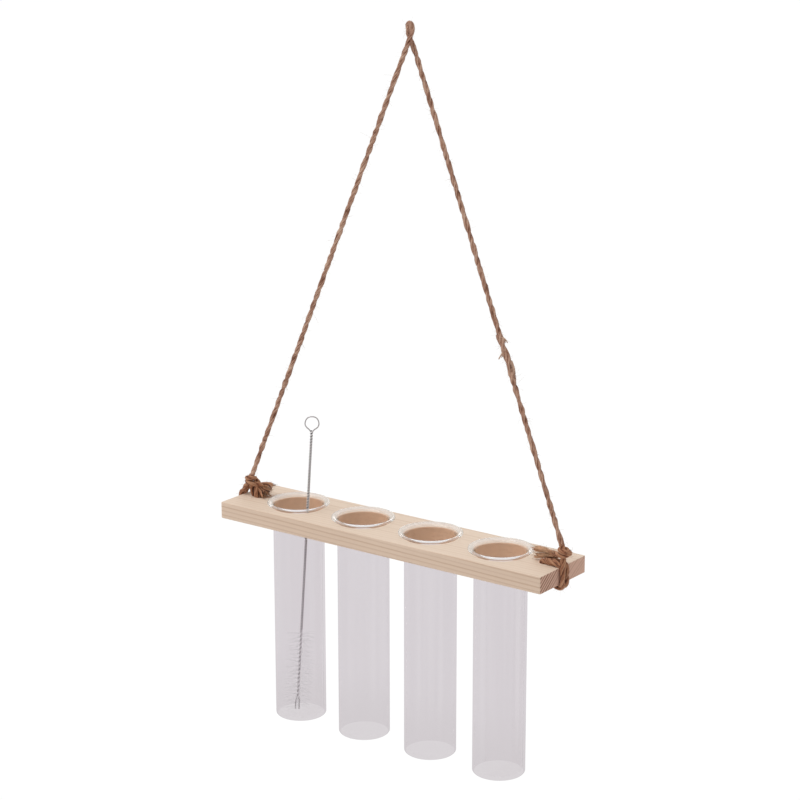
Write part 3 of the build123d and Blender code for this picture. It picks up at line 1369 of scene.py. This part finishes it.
@dataclass
class Brush:
    """The cleaning brush in the first tube: ring handle, twisted stem, parted wire ends and bristles."""

    steel: SteelFinish
    ring_steel: SteelFinish
    end_steel: SteelFinish
    head_steel: SteelFinish
    nylon: NylonFinish
    strands: LaidStrands
    bristles: BristleSpiral
    tip: Point = (-73.5 * MM, -14.4 * MM, -409.2 * MM)
    ring_centre: Point = (-55.0 * MM, -20.0 * MM, -226.9 * MM)
    ring_facing: float = math.radians(36.6)
    ring_radius: float = 3.9 * MM
    ring_wire_radius: float = 0.36 * MM
    ring_neck: float = 4.7 * MM
    ring_tuck: float = 1.2 * MM
    ring_corners: int = 4
    wire_radius: float = 0.46 * MM
    wire_step: float = 0.22 * MM
    wire_sides: int = 10
    stem_pitch: float = 3.54 * MM
    head_pitch: float = 5.6 * MM
    head_length: float = 51.0 * MM
    head_start: float = 0.8 * MM
    end_height: float = 7.5 * MM
    end_gap: float = 1.2 * MM
    end_overlap: float = 1.0 * MM
    end_bend: float = 0.8 * MM
    end_wire_radius: float = 0.45 * MM
    bristle_margin: float = 1 * MM
    bristle_jitter: float = 0.45
    bristle_length: float = 8.8 * MM
    bristle_radius: float = 0.07 * MM
    bristle_count: int = 520
    seed: int = 4

    def __post_init__(self) -> None:
        """Works out the brush's own frame, with Z up its stem and X across its ring."""
        axis = Vector(self.ring_centre) - Vector(self.tip)
        self.length = axis.length
        axis.normalize()
        side = Vector((math.cos(self.ring_facing), math.sin(self.ring_facing), 0.0))
        side = (side - axis * side.dot(axis)).normalized()
        turned = Matrix((side, axis.cross(side), axis)).transposed()
        self.place = Matrix.Translation(self.tip) @ turned.to_4x4()

    def wire_values(self, material: bpy.types.Material) -> dict[str, Any]:
        """What the strand recipe is given for the stem's twisted pair."""
        return {
            "Step": self.wire_step, "Strands": 2, "Lay Pitch": self.stem_pitch,
            "Lay Radius": self.wire_radius, "Strand Radius": self.wire_radius, "Unevenness": 0.0,
            "Ridge": 0.0, "Tip Length": 0.0, "Flare": 0.0, "Ragged": 0.0, "Sides": self.wire_sides,
            "Seed": self.seed, "Material": material,
        }

    def in_frame(self, points: Sequence[tuple[float, float]]) -> tuple[Point, ...]:
        """Points given across the ring and up the stem, as places."""
        return tuple(tuple(self.place @ Vector((x, 0.0, height))) for x, height in points)

    def show_wire(self, name: str, points: Sequence[tuple[float, float]], values: Mapping[str, Any]) -> None:
        """Shows one length of the wire.

        Args:
            name: The piece's name.
            points: Its route, across the ring and up the stem.
            values: What the strand recipe is given.
        """
        line = Route(name, self.in_frame(points)).line()
        show(name, self.strands.run(line, values), "brush", ("brush_wire",))

    def ring_points(self, neck: float) -> list[tuple[float, float]]:
        """The ring's route: out of the stem, round, and back into it.

        Args:
            neck: How far up the stem ends.

        Returns:
            Points across the ring and up the stem.
        """
        half_angle = math.asin(self.ring_radius / self.ring_neck)
        step = (math.pi + 2 * half_angle) / self.ring_corners
        reach = self.ring_radius / math.cos(step / 2)
        start = self.wire_radius
        points = [(start, neck - self.ring_tuck), (start, neck)]
        for i in range(self.ring_corners):
            angle = (i + 0.5) * step - half_angle
            points.append((reach * math.cos(angle), self.length + reach * math.sin(angle)))
        return points + [(-start, neck), (-start, neck - self.ring_tuck)]

    def build(self) -> None:
        """Shows the stem, the head's core, the two wire ends, the ring and the bristles."""
        neck = self.length - self.ring_neck
        head = self.head_start + self.head_length
        values = self.wire_values(self.steel.make())
        self.show_wire("brush_stem", [(0.0, head), (0.0, (head + neck) / 2), (0.0, neck)], values)
        foot = self.end_height
        values = {**values, "Lay Pitch": self.head_pitch, "Material": self.head_steel.make()}
        self.show_wire("brush_core", [(0.0, foot), (0.0, (foot + head) / 2), (0.0, head)], values)
        values = {
            **values, "Strands": 1, "Lay Radius": 0.0, "Strand Radius": self.end_wire_radius,
            "Material": self.end_steel.make(),
        }
        for number, side in enumerate((-1, 1), start=1):
            gap = side * self.end_gap
            points = [
                (gap / 3, foot + self.end_overlap),
                (gap * 0.8, foot - self.end_bend),
                (gap, foot / 2),
                (gap * 0.85, 0.0),
            ]
            self.show_wire(f"brush_end_{number}", points, values)
        values = {**values, "Strand Radius": self.ring_wire_radius, "Material": self.ring_steel.make()}
        self.show_wire("brush_ring", self.ring_points(neck), values)
        self.show_bristles()

    def show_bristles(self) -> None:
        """Shows the bristles on the lower part of the wire."""
        values = {
            "Count": self.bristle_count, "Head Length": self.head_length - 2 * self.bristle_margin,
            "Bristle Length": self.bristle_length, "Bristle Radius": self.bristle_radius,
            "Turns": self.head_length / self.head_pitch, "Jitter": self.bristle_jitter, "Seed": self.seed,
            "Material": self.nylon.make(),
        }
        head = self.bristles.run(bpy.data.meshes.new("head"), values)
        lowest = self.head_start + self.bristle_margin
        head.transform(self.place @ Matrix.Translation((0.0, 0.0, lowest)))
        show("brush_bristle_head", head, "brush", ("brush_bristles",))


@dataclass
class TwineWork:
    """What every length of twine shares: its finishes, its recipes and its lay."""

    strands: LaidStrands
    fibres: LooseFibres
    yarn: bpy.types.Material
    # The darker copy of the yarn, with painted shade, for the lashings, knots and slack turns.
    knot_yarn_painted_shade: bpy.types.Material
    pale_yarn: bpy.types.Material
    fibre: bpy.types.Material
    diameter: float = 3.0 * MM
    ply_radius: float = 1.02 * MM
    lay_radius: float = 0.56 * MM
    lay_pitch: float = 15.0 * MM
    unevenness: float = 0.34
    ridge: float = 0.5 * MM
    step: float = 0.4 * MM
    sides: int = 16
    fibre_length: float = 3.4 * MM
    fibre_thickness: float = 0.075 * MM
    fibre_way: Point = (0.0, 0.0, -1.0)
    fibre_lean: float = 0.35
    fibre_spread: float = 0.75

    @staticmethod
    def changed(values: dict[str, Any], changes: Mapping[str, Any]) -> dict[str, Any]:
        """A recipe's inputs with some changed, whose names have underscores for spaces."""
        return {**values, **{label.replace("_", " "): value for label, value in changes.items()}}

    def lay(self, line: bpy.types.Mesh, seed: int, **changes: Any) -> bpy.types.Mesh:
        """Lays twine along a line.

        Args:
            line: The smooth line of its route.
            seed: For its unevenness.
            changes: Inputs of the recipe that differ, with underscores for spaces.

        Returns:
            The twine's mesh.
        """
        values = {
            "Step": self.step, "Strands": 2, "Lay Pitch": self.lay_pitch, "Lay Radius": self.lay_radius,
            "Strand Radius": self.ply_radius, "Unevenness": self.unevenness, "Ridge": self.ridge,
            "Tip Length": 0.0, "Flare": 0.0, "Ragged": 0.0, "Sides": self.sides, "Seed": seed,
            "Material": self.yarn,
        }
        return self.strands.run(line, self.changed(values, changes))

    def fuzz(self, twine: bpy.types.Mesh, seed: int, density: float, **changes: Any) -> bpy.types.Mesh:
        """Loose fibres on a length of twine.

        Args:
            twine: The mesh that they stand on.
            seed: For their scatter.
            density: Fibres for each square metre.
            changes: Inputs of the recipe that differ, with underscores for spaces.

        Returns:
            The fibres' mesh.
        """
        values = {
            "Density": density, "Length": self.fibre_length, "Thickness": self.fibre_thickness,
            "Axis": self.fibre_way, "Lean": self.fibre_lean, "Spread": self.fibre_spread, "Seed": seed,
            "Material": self.fibre,
        }
        return self.fibres.run(twine, self.changed(values, changes))


@dataclass
class Hanger:
    """The twine's free stretch: up from one knot, round a tight eye at the top, and down to the other."""

    work: TwineWork
    exit: Point = (-106.5 * MM, -14.85 * MM, -267.0 * MM)
    length: float = 0.584
    route: tuple[Point, ...] = in_metres([
        (-105.4, -14.85, -269.0),
        (-6.6, -3.0, -25.1),
        (0.0, -1.9, -8.8),
        (1.7, -0.4, -3.4),
        (1.45, 0.0, 0.8),
        (0.0, 0.0, 2.5),
        (-1.45, 0.0, 0.8),
        (-1.7, 0.4, -3.4),
        (0.0, 1.9, -8.8),
        (7.3, 1.1, -25.0),
        (112.2, -14.85, -269.0),
    ])
    splice: tuple[Point, ...] = in_metres([
        (65.0, -7.9, -160.0),
        (68.4, -8.4, -167.0),
        (73.0, -8.2, -176.0),
        (76.0, -9.0, -184.5),
    ])
    flakes: tuple[tuple[Point, ...], ...] = (
        in_metres([(66.6, -8.0, -161.6), (68.8, -6.8, -163.0), (69.4, -6.3, -165.0)]),
        in_metres([(69.5, -8.9, -168.5), (68.4, -9.6, -170.6), (67.8, -11.1, -173.4)]),
        in_metres([(73.3, -8.2, -173.5), (75.0, -7.4, -177.6), (75.5, -8.4, -182.0)]),
    )
    lay_radius: float = 0.40 * MM
    ply_radius: float = 1.10 * MM
    unevenness: float = 0.52
    fuzz_density: float = 75000.0
    fray_density: float = 200000.0
    hair_density: float = 3000.0
    seed: int = 11

    def build(self) -> None:
        """Shows the twine, its loose fibres and the thicker splice in its right leg, as one cord."""
        work = self.work
        line = Route("jute_twine", self.route).line()
        laid = work.lay(
            line, self.seed, Lay_Radius=self.lay_radius, Strand_Radius=self.ply_radius,
            Unevenness=self.unevenness,
        )
        twine = show("jute_twine", laid, "hanger", ("twine_hanger",))
        fuzz = work.fuzz(twine.data, self.seed, self.fuzz_density)
        fuzz = show("twine_fuzz", fuzz, "hanger")
        joint = Route("twine_splice", self.splice).line()
        wrap = work.lay(
            joint, self.seed + 5, Lay_Pitch=19.0 * MM, Lay_Radius=1.0 * MM, Strand_Radius=0.95 * MM,
            Unevenness=0.5, Tip_Length=7.0 * MM,
        )
        wrap = show("twine_splice", wrap, "hanger")
        fray = work.fuzz(wrap.data, self.seed + 6, self.fray_density, Length=4.0 * MM, Lean=0.5)
        riders = [fuzz, wrap, show("splice_fray", fray, "hanger")]
        for number, places in enumerate(self.flakes, start=1):
            flake = work.lay(
                Route("flake", places).line(), self.seed + 20 * number, Strands=4, Lay_Pitch=30.0 * MM,
                Lay_Radius=0.45 * MM, Strand_Radius=0.42 * MM, Tip_Length=3.0 * MM, Ragged=0.5, Flare=0.8,
                Sides=8, Ridge=0.2 * MM, Material=work.pale_yarn,
            )
            riders.append(show(f"splice_flake_{number}", flake, "hanger"))
        hairs = work.fuzz(
            twine.data, self.seed + 8, self.hair_density, Length=8.0 * MM, Lean=0.2, Spread=1.0
        )
        riders.append(show("twine_hairs", hairs, "hanger"))


@dataclass
class EndLashing:
    """The twine round one end of the board: two turns through the hole, a collar knot and a frayed tail.

    All sizes are in millimetres. Points go outward from the board's end, across it and up from its top.
    """

    work: TwineWork
    side: Side
    lead: tuple[Point, ...]
    front_lane: float
    crossing: tuple[Point, ...]
    back_lane: float
    rise: tuple[Point, ...]
    collar: tuple[Point, ...]
    tails: tuple[tuple[Point, ...], ...]
    slack: tuple[Point, ...]
    slack_width: float
    tail_yarn: bpy.types.Material
    tail_strands: int
    tail_strand_radius: float
    tail_width: float
    seed: int
    hole_inset: float = TWINE_HOLE_INSET
    hole_lane: float = 1.6
    under: float = -11.3
    lashing_fuzz: float = 150000.0
    knot_fuzz: float = 190000.0
    tail_fuzz: float = 700000.0

    def on_end(self, points: Sequence[Point]) -> tuple[Point, ...]:
        """Puts points given from the board's end into the frame.

        Args:
            points: Millimetres outward, across and up.

        Returns:
            The places in metres.
        """
        low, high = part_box(RACK_NODE)
        end = high.x if self.side is Side.RIGHT else low.x
        middle = (low.y + high.y) / 2
        outward = self.side.value
        return tuple(
            (end + outward * out * MM, middle + across * MM, high.z + up * MM) for out, across, up in points
        )

    def turn(self, lane: float, hole_lane: float) -> tuple[Point, ...]:
        """Down the end's face, under the board and up through the hole.

        Args:
            lane: Where the turn lies across the board's end.
            hole_lane: Where it lies in the hole.

        Returns:
            The turn's points from the board's end.
        """
        hole = -self.hole_inset
        halfway = (lane + hole_lane) / 2
        return (
            (1.8, lane, -2.5),
            (1.8, lane, -7.5),
            (1.7, lane, -10.8),
            (-0.8, lane, self.under - 0.2),
            (-4.0, halfway, self.under),
            (-8.0, hole_lane, self.under),
            (hole + 0.3, hole_lane, self.under + 0.2),
            (hole, hole_lane, -8.6),
            (hole, hole_lane, -2.0),
        )

    def lashing_points(self) -> tuple[Point, ...]:
        """From the hanging twine twice round the end and through the hole, and up behind the knot.

        Returns:
            The lashing's points from the board's end.
        """
        first = self.turn(self.front_lane, -self.hole_lane)
        second = self.turn(self.back_lane, self.hole_lane)
        return self.lead + first + self.crossing + second + self.rise

    def build(self) -> None:
        """Shows the lashing, the knot, the slack turn at the hole and the frayed tail."""
        work, word = self.work, self.side.word
        line = Route("lashing", self.on_end(self.lashing_points())).line()
        lashing = work.lay(line, self.seed, Material=work.knot_yarn_painted_shade)
        show(f"lashing_{word}_twine", lashing, "rack", (f"lashing_{word}",))
        line = Route("knot", self.on_end(self.collar)).line()
        knot = work.lay(line, self.seed + 1, Material=work.knot_yarn_painted_shade)
        show(f"knot_{word}_twine", knot, "rack", (f"knot_{word}",))
        slack = work.lay(
            Route("slack", self.on_end(self.slack)).line(), self.seed + 2, Strands=3,
            Lay_Radius=self.slack_width * MM, Strand_Radius=0.95 * MM, Unevenness=0.5,
            Material=work.knot_yarn_painted_shade,
        )
        show(f"slack_{word}_twine", slack, "rack")
        fuzzy = (("lashing", lashing, self.lashing_fuzz), ("knot", knot, self.knot_fuzz))
        for label, twine, density in fuzzy:
            fuzz = work.fuzz(twine, self.seed + 3, density)
            show(f"{label}_{word}_fuzz", fuzz, "rack")
        for number, ply in enumerate(self.tails, start=1):
            self.fray(number, self.on_end(ply))

    def fray(self, number: int, places: tuple[Point, ...]) -> None:
        """Shows one loose ply of the tail, which opens into fine strands and fibres at its end.

        Args:
            number: Which ply it is.
            places: Its points in the frame.
        """
        work, word = self.work, self.side.word
        seed = self.seed + 10 * number
        tail = work.lay(
            Route("tail", places).line(), seed, Strands=self.tail_strands, Lay_Pitch=40.0 * MM,
            Lay_Radius=self.tail_width * MM, Strand_Radius=self.tail_strand_radius * MM, Unevenness=0.6,
            Tip_Length=2.6 * MM, Flare=1.1, Ragged=0.35, Sides=9, Ridge=0.2 * MM, Material=self.tail_yarn,
        )
        show(f"tail_{word}_ply_{number}", tail, "rack")
        way = (Vector(places[-1]) - Vector(places[-2])).normalized()
        fan = work.fuzz(
            tail, seed + 1, self.tail_fuzz, Axis=tuple(way), Lean=0.8, Spread=0.5, Thickness=0.12 * MM,
        )
        show(f"tail_{word}_fray_{number}", fan, "rack")


def left_lashing(work: TwineWork, tail_yarn: bpy.types.Material) -> EndLashing:
    """The lashing at the board's left end.

    Args:
        work: What every length of twine shares.
        tail_yarn: The finish of its tail.

    Returns:
        The lashing, ready to build.
    """
    return EndLashing(
        work, Side.LEFT, seed=30, front_lane=-1.9, back_lane=1.85,
        lead=((-6.7, -1.9, 13.6), (-6.3, -1.9, 9.5), (-4.2, -1.9, 7.6), (-0.6, -1.9, 3.0), (1.5, -1.9, 1.6)),
        crossing=(
            (-10.6, -1.6, 2.0), (-9.0, -1.2, 6.0), (-6.6, 0.2, 8.0), (-3.6, 1.2, 6.2), (-0.6, 1.8, 3.0),
            (1.5, 1.85, 1.6),
        ),
        rise=((-10.9, 1.5, 2.0), (-10.4, 1.3, 5.4), (-8.8, 1.2, 8.2), (-6.8, 0.8, 9.6)),
        collar=(
            (-5.4, -1.0, 8.6), (-3.1, -1.4, 10.4), (-5.6, -4.8, 11.6), (-8.9, -2.3, 11.2), (-6.4, 1.1, 10.6),
            (-3.1, -1.4, 9.4), (-5.2, -4.9, 8.6), (-9.0, -2.8, 8.0), (-10.6, 0.4, 6.8), (-12.6, 2.4, 5.6),
        ),
        tails=(
            ((-9.8, 0.8, 6.4), (-12.5, 3.2, 6.6), (-15.6, 4.4, 6.0), (-18.6, 4.8, 5.2)),
            ((-10.0, 0.8, 5.4), (-13.0, 2.2, 3.9), (-16.0, 2.2, 3.0), (-19.0, 2.0, 2.5)),
            ((-10.2, 0.4, 4.8), (-12.8, 0.2, 2.9), (-15.2, -0.9, 2.0), (-17.8, -2.0, 1.8)),
        ),
        tail_yarn=tail_yarn, tail_strands=13, tail_strand_radius=0.36, tail_width=1.15,
        slack=((-10.4, -1.2, -1.5), (-8.6, -1.7, 1.5), (-7.4, -1.8, 4.6), (-6.2, -1.8, 7.8)),
        slack_width=1.25,
    )


def right_lashing(work: TwineWork, tail_yarn: bpy.types.Material) -> EndLashing:
    """The lashing at the board's right end.

    Args:
        work: What every length of twine shares.
        tail_yarn: The finish of its tail.

    Returns:
        The lashing, ready to build.
    """
    return EndLashing(
        work, Side.RIGHT, seed=60, front_lane=-3.4, back_lane=0.5,
        lead=((-0.2, -1.9, 13.6), (1.0, -2.3, 9.0), (1.7, -3.0, 4.0), (1.75, -3.3, 0.5)),
        crossing=(
            (-10.7, -1.7, 1.2), (-8.6, -1.6, 2.2), (-5.0, -1.0, 2.4), (-1.2, -0.2, 2.4), (1.5, 0.4, 1.6),
        ),
        rise=((-10.8, 1.7, 2.0), (-7.0, 1.8, 3.2), (-3.4, 1.8, 5.4), (-1.0, 1.4, 7.6)),
        collar=(
            (-0.4, -0.8, 7.2), (2.1, 2.2, 8.0), (5.0, -1.7, 8.9), (1.1, -4.7, 9.9), (-1.9, -0.7, 9.8),
            (2.1, 2.2, 9.2), (5.0, -1.7, 7.6), (1.2, -4.6, 7.5), (-3.0, -1.8, 6.8), (-6.0, -0.4, 6.4),
            (-9.0, 0.0, 6.2),
        ),
        tails=(
            ((-4.0, -0.8, 6.6), (-8.0, -0.2, 6.4), (-14.0, 0.6, 6.8), (-20.8, -0.2, 6.2)),
            ((-6.0, -0.6, 5.4), (-11.0, 0.2, 4.0), (-17.0, 1.2, 2.2), (-20.2, 0.4, 2.4)),
        ),
        tail_yarn=tail_yarn, tail_strands=9, tail_strand_radius=0.45, tail_width=0.66,
        slack=(
            (-13.0, -0.8, -1.5), (-12.8, -1.1, 0.8), (-9.8, -2.2, 2.0), (-6.0, -2.9, 1.9), (-2.0, -3.2, 2.0),
            (1.0, -3.3, 1.2),
        ),
        slack_width=0.9,
    )


@dataclass(frozen=True)
class Panel:
    """A soft area lamp: its place and size in metres, and its power in watts."""

    name: str
    place: Point
    width: float
    height: float
    power: float


@dataclass
class Studio:
    """The pale floor, the soft light and the camera."""

    floor_drop: float = 0.22
    floor_half: float = 9.0
    floor_colour: Colour = (0.86, 0.86, 0.86)
    floor_glow: float = 1.05
    floor_whiteness: float = 0.8
    ambient: float = 0.60
    key_from: Point = (-0.30, -0.25, 0.92)
    key_strength: float = 1.30
    key_angle: float = math.radians(40.0)
    panels: tuple[Panel, ...] = (
        Panel("strip", (-1.20, -0.55, -0.15), width=0.12, height=1.1, power=0.8),
        Panel("back", (-0.85, 1.15, 0.02), width=0.3, height=0.3, power=0.7),
    )
    panel_target: Point = (0.0, -0.01, -0.28)
    camera_place: Point = (0.73831, -1.00537, 0.12655)
    camera_turn: float = math.radians(36.649)
    camera_tilt: float = math.radians(14.977)
    camera_roll: float = math.radians(-0.10)
    lens: float = 103.13
    sensor_width: float = 36.0
    clip_start: float = 0.01
    shift_x: float = 0.0046
    shift_y: float = -0.0036

    def seen_ray(self, bench: NodeBench) -> Field:
        """Finds the rays that show the background: to the camera, in a reflection or through glass.

        Args:
            bench: The tree of the world or of the floor's material.

        Returns:
            1 for such a ray and 0 for one that only brings light.
        """
        path = bench.add("ShaderNodeLightPath", None, None, "Is Camera Ray")
        mirrored = bench.math("MAXIMUM", path, path.sibling("Is Glossy Ray"))
        return bench.math("MAXIMUM", mirrored, path.sibling("Is Transmission Ray"))

    def make_world(self) -> None:
        """A plain bright surround, white where it is seen."""
        world = bpy.data.worlds.new("studio")
        world.use_nodes = True
        bench = NodeBench(world.node_tree)
        seen = self.seen_ray(bench)
        strength = self.ambient + seen * (1.0 - self.ambient)
        background = world.node_tree.nodes["Background"]
        background.inputs["Color"].default_value = (1.0, 1.0, 1.0, 1.0)
        world.node_tree.links.new(strength.socket, background.inputs["Strength"])
        bpy.context.scene.world = world

    def make_floor(self) -> None:
        """A wide pale floor under the hanging rack."""
        half = self.floor_half
        corners = [(-half, -half, 0), (half, -half, 0), (half, half, 0), (-half, half, 0)]
        mesh = bpy.data.meshes.new("floor")
        mesh.from_pydata(corners, [], [(0, 1, 2, 3)])
        mesh.transform(Matrix.Translation((0.0, 0.0, cad_box[0].z - self.floor_drop)))
        material = bpy.data.materials.new("pale_floor")
        material.use_nodes = True
        bench = NodeBench(material.node_tree)
        nodes = material.node_tree.nodes
        nodes.remove(nodes["Principled BSDF"])
        matt = bench.add("ShaderNodeBsdfDiffuse", None, {"Color": (*self.floor_colour, 1.0)})
        white = {"Color": (1.0, 1.0, 1.0, 1.0), "Strength": self.floor_glow}
        glow = bench.add("ShaderNodeEmission", None, white)
        factor = self.seen_ray(bench) * self.floor_whiteness
        mixed = bench.add("ShaderNodeMixShader", None, {"Fac": factor, "Shader": matt, "Shader_001": glow})
        material.node_tree.links.new(mixed.socket, nodes["Material Output"].inputs["Surface"])
        mesh.materials.append(material)
        floor = put("floor", mesh)

    @staticmethod
    def hang(data: bpy.types.Light, place: Vector, aim: Vector) -> None:
        """Hangs a lamp, which isn't seen through the glass.

        Args:
            data: The lamp.
            place: Where it hangs.
            aim: The way that it shines.
        """
        lamp = put(data.name, data)
        lamp.location = place
        lamp.rotation_euler = aim.to_track_quat("-Z", "Y").to_euler()
        lamp.visible_transmission = False

    def make_key(self) -> None:
        """The main light, soft and from the upper left."""
        data = bpy.data.lights.new("key", "SUN")
        data.energy = self.key_strength
        data.angle = self.key_angle
        self.hang(data, Vector(), -Vector(self.key_from))

    def make_panel(self, panel: Panel) -> None:
        """A soft area lamp that is aimed at the middle of the vase.

        Args:
            panel: Its place, size and power.
        """
        data = bpy.data.lights.new(panel.name, "AREA")
        data.shape = "RECTANGLE"
        data.size = panel.width
        data.size_y = panel.height
        data.energy = panel.power
        place = Vector(panel.place)
        self.hang(data, place, Vector(self.panel_target) - place)

    def make_camera(self) -> None:
        """The camera at the photograph's place and angle."""
        data = bpy.data.cameras.new("camera")
        data.sensor_width = self.sensor_width
        data.lens = self.lens
        data.shift_x = self.shift_x
        data.shift_y = self.shift_y
        data.clip_start = self.clip_start
        camera = put("camera", data)
        turned = Matrix.Rotation(self.camera_turn, 4, "Z")
        turned = turned @ Matrix.Rotation(QUARTER - self.camera_tilt, 4, "X")
        turned = turned @ Matrix.Rotation(self.camera_roll, 4, "Z")
        camera.matrix_world = Matrix.Translation(self.camera_place) @ turned
        bpy.context.scene.camera = camera

    def build(self) -> None:
        """Makes the whole studio."""
        bpy.context.scene.view_settings.view_transform = "Standard"
        self.make_world()
        self.make_floor()
        self.make_key()
        for panel in self.panels:
            self.make_panel(panel)
        self.make_camera()


def main() -> None:
    """Builds the studio and every piece of the vase."""
    logging.basicConfig(level=logging.INFO, format="%(message)s")
    Studio().build()
    Board(PineFinish()).build()
    GlassTubes(GlassFinish(), FLARE_GLASS, LIP_GLASS, FilmFinish()).build()
    strands = LaidStrands()
    Brush(SteelFinish(), RING_STEEL, END_STEEL, HEAD_STEEL, NylonFinish(), strands, BristleSpiral()).build()
    work = TwineWork(
        strands, LooseFibres(), HUNG_JUTE.make(), KNOT_JUTE_PAINTED_SHADE.make(), PALE_JUTE.make(), FibreFinish().make()
    )
    Hanger(work).build()
    # The left tail gets the darker yarn with painted shade.
    left_lashing(work, LEFT_TAIL_JUTE_PAINTED_SHADE.make()).build()
    right_lashing(work, LOOSE_JUTE.make()).build()


if __name__ == "__main__":
    main()
